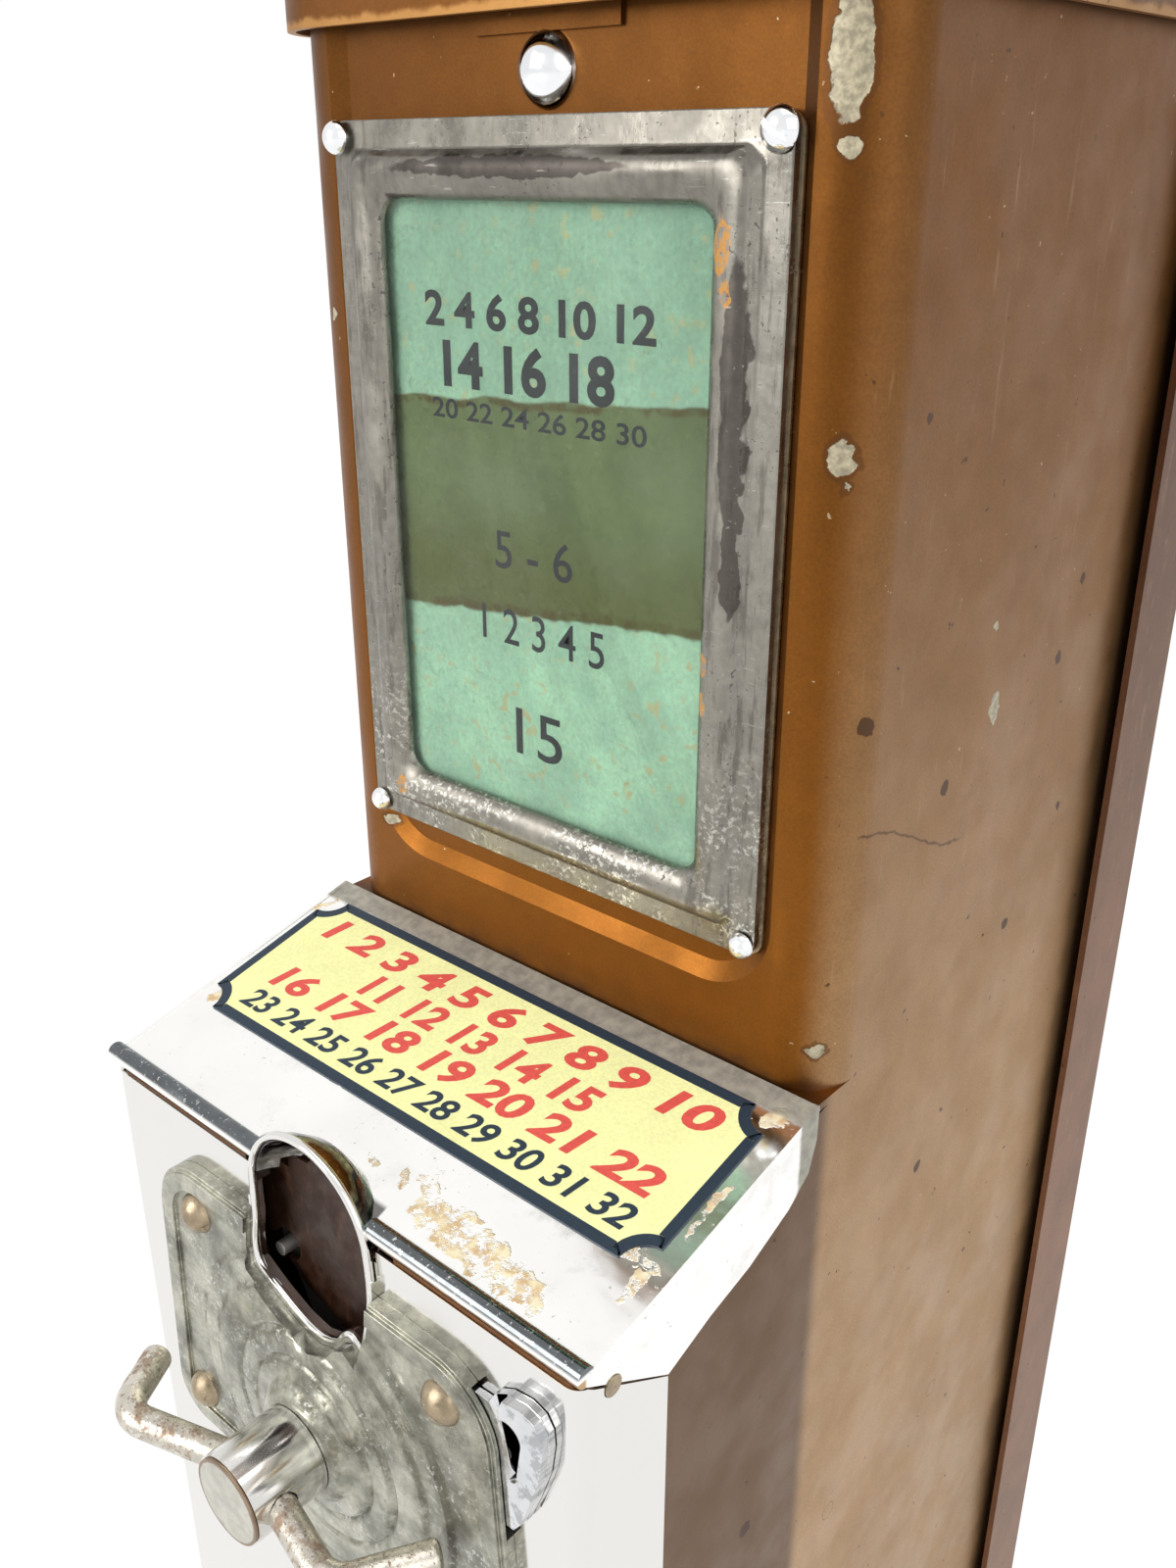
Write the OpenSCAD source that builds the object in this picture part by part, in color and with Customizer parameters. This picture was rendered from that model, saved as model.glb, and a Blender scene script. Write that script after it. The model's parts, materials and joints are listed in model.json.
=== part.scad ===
// Coin-operated machine that sells small folders of postage stamps.
// A painted sheet-steel case carries a framed card above a bright sloping hood
// and a bright front. The coin slot and the turned handle sit in a stamped plate.
// Inside are the folder magazine, the rack-driven pusher, the coin parts and the
// cash drawer. Sizes are in millimetres: X to the right, Y from front to back,
// Z up. Y = 0 is the front of the upper case and Z = 0 its underside.

/* [Case] */
// Width of the painted case
case_w = 100; // [92:1:120]
// Height of the case walls under the lid
case_h = 357; // [340:1:400]
// Depth from the upper front to the back edge of the walls
case_back = 101; // [90:1:130]
// Height of the ledge where the hood meets the upper front
ledge_z = 206; // [200:1:220]
// How far the lower front stands out from the upper front
hood_out = 49; // [45:1:56]
// How far the hood falls from the upper front to its front edge
hood_drop = 12; // [8:1:16]
// Thickness of the painted sheet steel
sheet = 1.2; // [0.8:0.1:2]
// Radius of the upright front corners
corner_r = 9; // [5:0.5:12]
// Depth of the dished panel in the upper front
dish_depth = 1.6; // [0.8:0.1:2.4]
// Width of the case front left on each side of the dished panel
dish_border = 9.2; // [8:0.1:11]
// Width of the slope around the dished panel
dish_slope = 2.6; // [1.6:0.1:2.8]
// Radius of the dished panel's lower corners
dish_r = 12; // [4:0.5:14]
// Height of the lid
lid_h = 20; // [16:1:30]
// Gap between the lid's skirt and the case
lid_gap = 2; // [1.4:0.1:3]
// How far the lid reaches down over the case
lid_lap = 14; // [8:1:16]
// Depth of the back cover's side flanges
cover_flange = 17; // [12:1:22]
// Gap between the back cover's flanges and the case
cover_gap = 1.8; // [1:0.1:2.5]

/* [Card frame] */
// Gap on each side between the card frame and the dished panel's edge
bezel_side = 1.8; // [1.5:0.1:5]
// Gap between the card frame's upper edge and the lid
bezel_drop = 11.5; // [11:0.1:20]
// Width of the frame's border
bezel_rim = 10; // [7:0.1:12]
// Height of the frame's lower edge above the hood's top edge
bezel_up = 19.8; // [15:0.1:21]
// How far the frame stands out of the dished panel
bezel_depth = 4; // [3.8:0.1:5]
// Thickness of the glass
glass_t = 1.8; // [1:0.1:2]

/* [Hood and front] */
// Thickness of the bright sheet
bright = 0.8; // [0.6:0.1:1.2]
// Width of the bright front's side flanges
front_flange = 16; // [10:0.5:20]
// Half the width of the coin opening
slot_r = 12.8; // [11.5:0.1:13]
// Height of the coin opening's arch centre above the handle's axis
slot_up = 39; // [38.5:0.1:41]
// Depth of the coin opening below the arch centre
slot_fall = 20.5; // [18:0.1:21]
// Bare hood on each side of the label
label_edge = 2; // [1:0.5:8]
// Length of the label up the slope
label_l = 30.3; // [24:0.1:34]

/* [Handle and plate] */
// Height of the handle's axis below the hood's top edge
axis_drop = 54.5; // [54:0.1:56]
// Diameter of the round knob
knob_d = 14.2; // [12:0.1:15]
// Length of the round knob
knob_l = 12.5; // [11:0.1:14]
// Diameter of the handle rod
rod_d = 4.8; // [4:0.1:5]
// Length of each handle arm to its bend
arm_l = 25; // [20:0.5:28]
// Diameter of the drive shaft
shaft_d = 8; // [7:0.1:9]
// Width of the stamped plate at its top
plate_w = 75.6; // [74:0.1:76]
// Thickness of the stamped plate at its rim
plate_t = 2; // [1.8:0.1:2.4]
// Diameter of the domed rivet heads
rivet_d = 6.8; // [5:0.1:7]
// Radius from the axis to the coin pin
pin_r = 27.3; // [26.5:0.1:27.8]
// Half turn of the handle, in degrees, from rest to the end of its stroke
stroke = 90; // [80:1:90]

/* [Stamp works] */
// Width of one stamp folder
folder_w = 31; // [30:0.5:31]
// Length of one stamp folder
folder_l = 57; // [50:0.5:60]
// Thickness of one stamp folder
folder_t = 1.2; // [1:0.1:1.4]
// Number of folders left in the magazine
folders = 70; // [10:1:110]
// Pitch radius of the toothed sector
gear_r = 20; // [20:1:20]
// Teeth of the sector if it were a full wheel
gear_n = 20; // [20:1:20]
// How far the magazine walls end below the top of the case walls
magazine_drop = 31.6; // [28:0.1:80]
// Height of the delivery opening's lower edge
mouth_z = 60; // [58:1:64]
// Height of the delivery opening
mouth_h = 32; // [24:1:34]

/* [Cash drawer] */
// Height of the cash drawer
drawer_h = 39; // [30:1:40]
// Gap between the drawer and the case's back cut-out
drawer_gap = 1; // [0.6:0.1:1.5]
// Travel of the cash drawer
drawer_travel = 110; // [60:1:120]

/* [Hidden] */
$fn = 64;
e = 0.01;                       // overlap for cuts
hw = case_w / 2;                // half the case
iw = hw - sheet;                // half the inside
fy = -hood_out;                 // lower front, outside
hub_z = ledge_z - axis_drop;    // handle's axis
slope = atan(hood_drop / hood_out);
lid_z = case_h - lid_lap;       // lid's lower edge
lid_top = lid_z + lid_h;
lid_r = corner_r + lid_gap;
cover_out = hw + cover_gap + sheet;
dish_w = case_w - 2 * dish_border;
dish_z = ledge_z + 12.5;        // dished panel's lower edge
dish_y = dish_depth;            // its floor
bezel_w = dish_w - 2 * bezel_side;
bezel_z = ledge_z + bezel_up;
bezel_h = lid_z - bezel_drop - bezel_z;
label_w = case_w - 2 * label_edge;
bezel_c = bezel_z + bezel_h / 2;
foil_t = 0.4;                   // backing sheet
card_t = 0.6;
bezel_back = dish_y - foil_t - 0.8;
bezel_step = 2.2;               // thickness of the frame's outer border
bezel_face = bezel_back - bezel_depth;
glass_w = bezel_w - 2 * bezel_rim + 7.4;
glass_h = bezel_h - 2 * bezel_rim + 7.6;
nail_x = bezel_w / 2 - 1.7;
nail_top = bezel_z + bezel_h - 2.2;
nail_low = bezel_z + 1.8;
bolt_z = bezel_z + bezel_h + 5.1;
panel_y = fy - bright;          // bright front, outside
panel_top = ledge_z - hood_drop - 1.7;
slot_z = hub_z + slot_up;       // arch centre
plate_top = hub_z + 33.1;
plate_y = panel_y - plate_t;    // stamped plate's rim, outside
dome_y = panel_y - 6.6;         // top of the plate's boss
lobe_x = 32.7;                  // lower rivets
lobe_z = hub_z - 14.9;
ear_x = 27.7;                   // upper rivets
ear_z = hub_z + 25.2;
shank_r = 1.6;
bush_r = 6;
run = 0.05;                     // running clearance, radial
knob_y = dome_y - 0.1;          // knob's inner end
rod_y = knob_y - 7.8;           // rod's centre in the knob
rod_bend = 5;                   // bend radius at the rod's centre
back_y = fy + sheet + 1.9;      // face of the coin back plate
back_t = 1.2;
arm_y = back_y + back_t + 0.4;  // coin arm
arm_t = 1.4;
pin_a = 27;                     // coin pin's angle from upright
bridge_y = -2;                  // bearing bridge
bridge_t = 1.6;
gear_y = -12;                   // toothed sector
gear_w = 6;
modl = 2 * gear_r / gear_n;     // tooth size
pitch = PI * modl;
travel = gear_r * PI * stroke / 180;
line_z = hub_z - gear_r;        // rack's pitch line
push_z = line_z - 9.5;          // underside of the pusher
push_t = 1.4;
fold_y = dish_y + sheet + 1.4;  // front edge of the folders
stack_z = push_z + push_t + 0.2;
stack_h = folders * folder_t;
stack_x = folder_w / 2;
push_x = stack_x + 0.3;         // pusher's leading edge at rest
mag_in = stack_x + 0.7;
mag_t = 1;
mag_y = dish_y + sheet;         // magazine's front wall, outside
mag_z = stack_z + 1.8;
mag_top = case_h - magazine_drop;
magazine_h = mag_top - mag_z;
weight_h = 16;
floor_z = push_z - 0.2;         // top of the fixed floor
floor_t = 1.4;
drop_x = push_x - 0.1;
wall_z = 52;                    // lower end of the back flanges
row_in = 20;                    // end rows of screws from the flange's ends
back_rows = [wall_z + row_in, (wall_z + lid_z - 6) / 2, lid_z - row_in - 6];
mouth_x0 = 11;                  // delivery opening
mouth_x1 = hw - 5;
ramp_y = fold_y + folder_l + 2.2;
ramp_z = line_z - 24;           // upper end of the ramp
collar_t = 2.4;                 // collar on the shaft's inner end
coin_d = 17.9;                  // coin that works the machine
chute_x0 = mouth_x0 - 2.5;
drawer_z = 7;
drawer_w = case_w - 18;
drawer_y0 = fy + sheet + 0.5;
cut_z = drawer_z + drawer_h + 2;
rail_z = drawer_z - run;
lock_x = drawer_w / 2 - 13;
lock_z = drawer_z + drawer_h / 2 + 0.5;
pivot_y = case_back + 4.05;     // lid hinge's axis
pivot_z = lid_z - 2.8;
knuckle_r = 2.6;
pin_hinge = 1.4;
key_z = lid_z + 10;
key_r = 4;
notch_gap = 8;                  // clear space round the lid lock
keeper_x = key_r + notch_gap + 3;

// Node to show

// ---- shared shapes ----

// flat outline in X and Z, as a plate from y to y + t
module plate(y, t) {
  translate([0, y + t, 0]) rotate([90, 0, 0]) linear_extrude(t) children();
}

// flat outline in Y and Z, as a plate from x to x + t
module side(x, t) {
  translate([x, 0, 0]) rotate([90, 0, 90]) linear_extrude(t) children();
}

// turned shape around an axis along Y, its profile measured towards the front
module turned(x, y, z) {
  translate([x, y, z]) rotate([90, 0, 0]) rotate_extrude() children();
}

// round bar along Y from y to y + l
module bar_y(x, y, z, r, l) {
  translate([x, y, z]) rotate([-90, 0, 0]) cylinder(r = r, h = l);
}

// round bar along X from x to x + l
module bar_x(x, y, z, r, l) {
  translate([x, y, z]) rotate([0, 90, 0]) cylinder(r = r, h = l);
}

// plan view with round front corners, from y = 0 back to y = d
module round_front(w, d, r) {
  translate([-w / 2, r]) square([w, d - r]);
  translate([-w / 2 + r, 0]) square([w - 2 * r, d]);
  for (s = [-1, 1]) translate([s * (w / 2 - r), r]) circle(r);
}

// rectangle with four round corners, centred on [x, z]
module round_rect(x, z, w, h, r) {
  translate([x - w / 2 + r, z - h / 2]) square([w - 2 * r, h]);
  translate([x - w / 2, z - h / 2 + r]) square([w, h - 2 * r]);
  for (a = [-1, 1], b = [-1, 1])
    translate([x + a * (w / 2 - r), z + b * (h / 2 - r)]) circle(r);
}

// rounded screw or rivet head, its flat face at y, standing towards the front
module dome(x, y, z, r, h) {
  R = (r * r + h * h) / (2 * h);
  intersection() {
    translate([x, y - h + R, z]) sphere(R);
    bar_y(x, y - h - e, z, r, h + e);
  }
}

// outline of the coin opening
module slot(k = 1) {
  z0 = slot_z - slot_fall;
  translate([0, slot_z]) scale([k, k]) translate([0, -slot_z]) {
    polygon([[-slot_r, slot_z], [-slot_r, slot_z - 6.5],
      [-slot_r - 0.9, slot_z - 11.5], [-slot_r - 0.6, z0 + 5.3],
      [-8.5, z0 + 2.6], [-3.5, z0 + 0.6], [0.8, z0], [4.2, z0 + 1.2],
      [6.2, z0 + 3.8], [8, z0 + 4.9], [10.2, z0 + 3.4], [11, z0 + 6.5],
      [slot_r - 0.6, z0 + 11], [slot_r, z0 + 16], [slot_r, slot_z]]);
    circle_top();
  }
}

module circle_top() {
  intersection() {
    translate([0, slot_z]) circle(slot_r);
    translate([-2 * slot_r, slot_z - e]) square([4 * slot_r, 2 * slot_r]);
  }
}

// outline of the stamped plate behind the handle
module plate_outline(g = 0) {
  r = 11;
  w = plate_w / 2;
  for (s = [-1, 1]) {
    translate([s * (w - r), plate_top - r]) circle(r - g);
    translate([s * lobe_x, lobe_z]) circle(7.4 - g);
  }
  translate([-w + r, hub_z]) square([2 * (w - r), plate_top - hub_z - g]);
  polygon([[-w + g, plate_top - r], [w - g, plate_top - r],
    [lobe_x + 7.4 - g, lobe_z], [-lobe_x - 7.4 + g, lobe_z]]);
  translate([-lobe_x, lobe_z - 7.4 + g]) square([2 * lobe_x, 12]);
  translate([0, hub_z]) circle(31 - g);
}

// ---- case ----

module case_profile(w, r_up, r_low, front, low_front, z0, z1) {
  translate([0, front, ledge_z - hood_drop - 1])
    linear_extrude(z1 - ledge_z + hood_drop + 1)
    round_front(w, case_back + 2 - front, r_up);
  translate([0, low_front, z0]) linear_extrude(ledge_z - hood_drop - z0)
    round_front(w, case_back + 2 - low_front, r_low);
}

module ledge_wedge(w, y0) {
  side(-w / 2, w) polygon([[y0, ledge_z - hood_drop - 4],
    [y0, ledge_z + y0 * hood_drop / hood_out], [corner_r, ledge_z],
    [corner_r, ledge_z - hood_drop - 4]]);
}

module case_shell() color("#8a5a22") difference() {
  union() {
    difference() {
      union() {
        case_profile(case_w, corner_r, 2, 0, fy, 0, case_h);
        ledge_wedge(case_w, fy + 2);
      }
      case_profile(case_w - 2 * sheet, corner_r - sheet, 0.8, sheet, fy + sheet,
        -1, case_h + 1);
      ledge_wedge(case_w - 2 * sheet, fy + sheet);
      translate([-iw, fy + sheet, ledge_z - hood_drop - 8])
        cube([2 * iw, hood_out - sheet + corner_r, 16 + hood_drop - 2 * 4]);
      translate([-hw - 1, case_back, -1]) cube([case_w + 2, 10, case_h + 2]);
      // the lower front stops below the hood's edge
      translate([-hw - 1, fy - 1, panel_top + 0.9]) cube([case_w + 2, sheet + 2, 20]);
    }
    // back of the dished panel
    pressed(dish_w / 2 + sheet, dish_z - sheet, dish_r + sheet, sheet - 0.2,
      dish_depth + sheet, case_h);
    // corners of the ledge beside the upper front
    for (s = [-1, 1]) difference() {
      translate([s > 0 ? hw - corner_r : -hw, 0, ledge_z - sheet])
        cube([corner_r, corner_r, sheet]);
      translate([s * (hw - corner_r), corner_r, 0]) cylinder(r = corner_r - sheet, h = case_h);
    }
    // flanges that take the back cover
    for (s = [-1, 1]) translate([s > 0 ? iw - 10 : -iw, case_back - sheet, wall_z])
      cube([10, sheet, case_h - wall_z]);
    translate([-iw, case_back - sheet, lid_z - 13]) cube([2 * iw, sheet, lid_lap + 13]);
  }
  // dished panel
  pressed(dish_w / 2, dish_z, dish_r, 0, dish_depth, case_h + 1);
  pressed(dish_w / 2, dish_z, dish_r, -1, e, case_h + 1, 0);
  // coin and shaft opening, delivery opening
  plate(fy - 1, sheet + 2) {
    translate([-slot_r - 3.6, hub_z - 10]) square([2 * slot_r + 7.2, panel_top - hub_z + 11]);
    mouth(0);
  }
  // bolt, screw and nail holes of the card frame
  bar_y(0, -1, bolt_z, 2.5, 6);
  for (s = [-1, 1], z = [nail_low, nail_top]) bar_y(s * nail_x, -1, z, 1.4, 6);
  // notch for the lid lock
  translate([-key_r - notch_gap, -1, key_z - key_r - notch_gap + 0.4])
    cube([2 * (key_r + notch_gap), 8, case_h]);
  for (s = [-1, 1]) bar_y(s * keeper_x, dish_y - e, key_z - 4.5, 1.1, 8);
  back_screws(2);
  base_holes(1.65);
  floor_holes(1.65);
  flange_marks(1.55);
  for (x = [-24, 24]) bar_y(x, case_back - 6, pivot_z - 4.7, 1.1, 12);
  post_holes(1.1);
  for (s = [-1, 1]) bar_y(s * lobe_x, fy - 2, lobe_z, shank_r + 0.1, 8);
  bar_y(-ear_x, fy - 2, ear_z, shank_r + 0.1, 8);
  bar_y(ear_x, fy - 2, ear_z, shank_r + 0.1, 8);
}

// panel with round lower corners that narrows by s on each side from y0 to y1
module pressed(a, z0, r, y0, y1, top, s = dish_slope) {
  for (k = [-1, 1]) translate([k * (a - r), y0, z0 + r]) rotate([-90, 0, 0])
    cylinder(r1 = r, r2 = r - s, h = y1 - y0);
  side(r - a, 2 * (a - r)) polygon([[y0, z0], [y0, top], [y1, top], [y1, z0 + s]]);
  translate([0, 0, z0 + r]) linear_extrude(top - z0 - r)
    polygon([[-a, y0], [a, y0], [a - s, y1], [s - a, y1]]);
}

module mouth(g) {
  round_rect((mouth_x0 + mouth_x1) / 2, mouth_z + mouth_h / 2,
    mouth_x1 - mouth_x0 + 2 * g, mouth_h + 2 * g, 4 + g);
}

module back_screws(r) {
  for (s = [-1, 1], z = back_rows)
    bar_y(s * (iw - 5), case_back - 6, z, r, 14);
}

module base_holes(r) {
  for (y = [fy + 27, 28, case_back - 22]) bar_x(-hw - 2, y, 7.5, r, case_w + 4);
}

module floor_holes(r) {
  for (y = [14, ramp_y - 14]) bar_x(-hw - 2, y, floor_z - 7.5, r, case_w + 4);
}

module base_plate() color("#6f4a20") difference() {
  union() {
    translate([0, fy + sheet, 0]) linear_extrude(1.6)
      round_front(2 * iw, case_back - fy - 2 * sheet, 1);
    for (s = [-1, 1]) translate([s > 0 ? iw - 1 : -iw, fy + 4, 0])
      cube([1, case_back - fy - 8, 12]);
  }
  for (x = [-30, 30], y = [-30, 80]) translate([x, y, -1]) cylinder(r = 2.75, h = 4);
  base_holes(1.65);
}

// half section of a rivet: round head, shank of length grip, clenched end
module rivet_profile(head, high, shank, grip) {
  R = (head * head + high * high) / (2 * high);
  intersection() {
    translate([0, high - R]) circle(R);
    square([head, high]);
  }
  translate([0, -grip]) square([shank, grip + e]);
  translate([0, -grip - 0.9]) square([1.65 * shank, 0.9]);
}

// rivet filed flush with the case's side
module flush_profile(shank, grip) {
  translate([0, -grip]) square([shank, grip]);
  translate([0, -grip - 0.9]) square([1.65 * shank, 0.9]);
}

module side_rivets(y, z, grip)
  for (s = [-1, 1]) translate([s * hw, y, z]) rotate([0, s * 90, 0])
    rotate_extrude() rivet_profile(2.9, 1.4, 1.6, grip);

module base_rivets() color("#7a5226")
  for (y = [fy + 27, 28, case_back - 22]) side_rivets(y, 7.5, sheet + 1);

module back_cover() color("#7d5526") difference() {
  union() {
    translate([-cover_out, case_back, 2]) cube([2 * cover_out, sheet, lid_z - 11]);
    for (s = [-1, 1]) translate([s > 0 ? cover_out - sheet : -cover_out,
      case_back + sheet - cover_flange, 2]) cube([sheet, cover_flange, lid_z - 11]);
  }
  translate([-drawer_w / 2 - drawer_gap, case_back - 1, drawer_z - drawer_gap])
    cube([drawer_w + 2 * drawer_gap, sheet + 2, drawer_h + 2 + drawer_gap]);
  back_screws(2.1);
}

module back_cover_screws() color("#9a958c")
  for (s = [-1, 1], z = back_rows) difference() {
    union() {
      bar_y(s * (iw - 5), case_back - 5, z, 1.9, 5 + sheet);
      mirror([0, 1, 0]) dome(s * (iw - 5), -case_back - sheet, z, 3.6, 1.8);
    }
    translate([s * (iw - 5) - 4, case_back + sheet + 0.9, z - 0.4]) cube([8, 2, 0.8]);
  }

// ---- lid ----

module top_lid() color("#8a5a22") difference() {
  union() {
    difference() {
      translate([0, -lid_gap - sheet, lid_z]) linear_extrude(lid_h)
        round_front(case_w + 2 * (lid_gap + sheet), pivot_y + 0.4 + lid_gap + sheet,
          lid_r + sheet);
      translate([0, -lid_gap, lid_z - 1]) linear_extrude(lid_h - sheet + 1)
        round_front(case_w + 2 * lid_gap, pivot_y + 0.4 - sheet + lid_gap, lid_r);
    }
    bar_x(-10, pivot_y, pivot_z, knuckle_r, 20);
    translate([-10, pivot_y + 0.4 - sheet, pivot_z]) cube([20, sheet, 5]);
  }
  bar_x(-11, pivot_y, pivot_z, pin_hinge + run, 22);
  bar_y(0, -lid_gap - sheet - 1, key_z, 5.5, sheet + 2);
}

module lid_hinge_leaf() color("#7a7468") difference() {
  union() {
    translate([-32, case_back, pivot_z - 6]) cube([64, 1.2, 8.2]);
    for (x = [-30, 10.2]) {
      bar_x(x, pivot_y, pivot_z, knuckle_r, 19.8);
      translate([x, case_back, pivot_z - knuckle_r]) cube([19.8, pivot_y - case_back, 1.2]);
    }
  }
  bar_x(-31, pivot_y, pivot_z, pin_hinge, 62);
  for (x = [-24, 24]) bar_y(x, case_back - 1, pivot_z - 4.7, 1.15, 4);
}

module lid_hinge_rivets() color("#9a958c")
  for (x = [-24, 24]) {
    bar_y(x, case_back - 3, pivot_z - 4.7, 1.05, 4.2);
    mirror([0, 1, 0]) dome(x, -case_back - 1.2, pivot_z - 4.7, 1.9, 0.9);
  }

module lid_hinge_pin() color("#9a958c") bar_x(-30, pivot_y, pivot_z, pin_hinge, 60);

module lock_barrel(x, y, z, l, r) difference() {
  union() {
    bar_y(x, y, z, r, l);
    bar_y(x, y - 1.4, z, r + 1.6, 1.4);
  }
  bar_y(x, y - 2, z, key_r + run, l + 4);
}

module lid_lock_barrel() color("#b9b6ae")
  lock_barrel(0, -lid_gap - sheet, key_z, sheet + lid_gap + 4.4, 5.4);

module lid_lock_plug() color("#8d8a82") difference() {
  union() {
    bar_y(0, -lid_gap - sheet - 1.8, key_z, key_r, lid_gap + sheet + 8.2);
    translate([-2.5, 4.9, key_z - 10.4]) cube([5, 1.5, 10.4]);
  }
  translate([-0.6, -lid_gap - sheet - 3, key_z - 2.6]) cube([1.2, 4, 5.2]);
}

module lid_lock_keeper() color("#8d8a82") difference() {
  union() {
    translate([keeper_x - 2.4, mag_y, key_z - 9]) cube([8, 1, case_h - key_z + 9]);
    translate([key_r + 3, mag_y, key_z + 3.4]) cube([keeper_x - key_r + 2.6, 8, 1]);
  }
  bar_y(keeper_x, 0, key_z - 4.5, 1.1, 8);
}

// ---- card frame ----

module front_bolt() color("#d0cfcb") union() {
  dome(0, dish_y, bolt_z, 4.6, 3.4);
  bar_y(0, dish_y - e, bolt_z, 2.4, 9);
}

module front_bolt_nut() color("#8d8a82") difference() {
  translate([0, mag_y + mag_t, bolt_z]) rotate([-90, 0, 0]) rotate([0, 0, 30])
    cylinder(d = 8.4, h = 3.2, $fn = 6);
  bar_y(0, 0, bolt_z, 2.4, 12);
}

module bezel_holes(r) {
  for (s = [-1, 1], z = [nail_low, nail_top]) bar_y(s * nail_x, bezel_face - 2, z, r, 9);
}

module window_bezel() color("#8e8878") difference() {
  union() {
    plate(bezel_back - bezel_step, bezel_step) round_rect(0, bezel_c, bezel_w, bezel_h, 2.4);
    plate(bezel_face, bezel_depth - e)
      round_rect(0, bezel_c, bezel_w - 8.4, bezel_h - 8.4, 4);
  }
  plate(bezel_face - 1, bezel_depth + 2)
    round_rect(0, bezel_c, bezel_w - 2 * bezel_rim, bezel_h - 2 * bezel_rim, 3.4);
  plate(bezel_back - card_t - glass_t, 6) round_rect(0, bezel_c, glass_w, glass_h, 1.5);
  bezel_holes(1.4);
}

module window_glass() color([0.75, 0.85, 0.8, 0.35])
  plate(bezel_back - card_t - glass_t, glass_t)
    round_rect(0, bezel_c, glass_w - 0.4, glass_h - 0.4, 1.3);

module display_card() color("#8fb19a")
  plate(bezel_back - card_t, card_t)
    round_rect(0, bezel_c, glass_w - 0.4, glass_h - 0.4, 1.3);

module backing_sheet() color("#b79a5c") difference() {
  plate(bezel_back, foil_t) round_rect(0.1, bezel_c - 0.3, bezel_w + 0.4, bezel_h, 2.4);
  bezel_holes(1.5);
}

module corner_nail(x, z, r, h) {
  dome(x, bezel_back - bezel_step, z, r, h);
  bar_y(x, bezel_back - bezel_step - e, z, 1.3, 8);
}

module bezel_dome_nail() color("#d0cfcb") corner_nail(-nail_x, nail_top, 2.3, 2.2);

module bezel_slotted_screw() color("#c6c3ba") difference() {
  corner_nail(nail_x, nail_top, 2.5, 1.7);
  translate([nail_x, 0, nail_top]) rotate([0, 28, 0])
    translate([-3, bezel_back - bezel_step - 2, -0.35]) cube([6, 1.1, 0.7]);
}

module bezel_round_screws() color("#c6c3ba")
  for (s = [-1, 1]) corner_nail(s * nail_x, nail_low, 2, 1.6);

// ---- hood and bright front ----

// hollow over the coin opening, as the profile of a turned dome
function brow(g) = [[0, 0], [4 - g / 2, 0.4], [7.6 - g, 1.8], [10.3 - g, 3.8],
  [12.1 - g, 6.3], [slot_r - g + 0.4, 8.6]];

module brow_solid(g, l) turned(0, fy + 7.2 - 0.9 * g, slot_z)
  polygon(concat(brow(g), [[slot_r - g + 0.4, 8.6 + l], [0, 8.6 + l]]));

module on_slope() translate([0, 0, ledge_z]) rotate([slope, 0, 0]) children();

module hood() color("#c9c9c6") difference() {
  union() {
    on_slope() translate([-hw - bright, fy / cos(slope) - 0.2, 0])
      cube([case_w + 2 * bright, hood_out / cos(slope), bright]);
    for (s = [-1, 1]) {
      side(s > 0 ? hw : -hw - bright, bright) polygon([[-0.4, ledge_z + 0.8],
        [-0.5, ledge_z - 4.8], [-2.1, ledge_z - 9.7], [-6.6, ledge_z - 13.2],
        [-15.6, ledge_z - 17.2], [-24.2, ledge_z - 19.6],
        [fy + front_flange, ledge_z - 23], [fy - 0.3, ledge_z - hood_drop - 0.4],
        [fy - 0.3, ledge_z - hood_drop + 0.8]]);
      // rolled front edge on each side of the coin opening
      bar_x(s > 0 ? slot_r - 0.6 : -hw - bright, fy + 0.1,
        ledge_z - hood_drop + 0.9, 1.5, hw + bright - slot_r + 0.6);
    }
    intersection() {
      brow_solid(0, 0);
      side(-20, 40) polygon([[fy - 5, slot_z], [fy + 1.4, slot_z],
        [fy + 1.4, ledge_z + (fy + 1.4) * hood_drop / hood_out + 0.1],
        [0, ledge_z + 0.1], [0, ledge_z + 30], [fy - 5, ledge_z + 30]]);
    }
    // rolled lip of the arch
    intersection() {
      turned(0, fy - 1.4, slot_z) translate([slot_r - 0.1, 0]) circle(0.6);
      translate([-20, fy - 5, slot_z]) cube([40, 20, 30]);
    }
  }
  difference() {
    brow_solid(0.9, 6);
    side(-20, 40) polygon([[fy - 8, 0], [fy + 1.4, 0], [fy + 1.4, slot_z - 8],
      [fy - 8, slot_z - 8]]);
  }
  translate([-slot_r + 0.8, fy - 3, slot_z - 12]) cube([2 * slot_r - 1.6, 4.4, 14]);
  flange_marks(1.55);
}

module hood_label() color("#efe6a2") on_slope()
  translate([-label_w / 2 - 0.8, -label_l - 4.7, bright]) linear_extrude(0.3)
    difference() {
      square([label_w, label_l]);
      for (x = [0, label_w], y = [0, label_l]) translate([x, y]) circle(4);
    }

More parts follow.
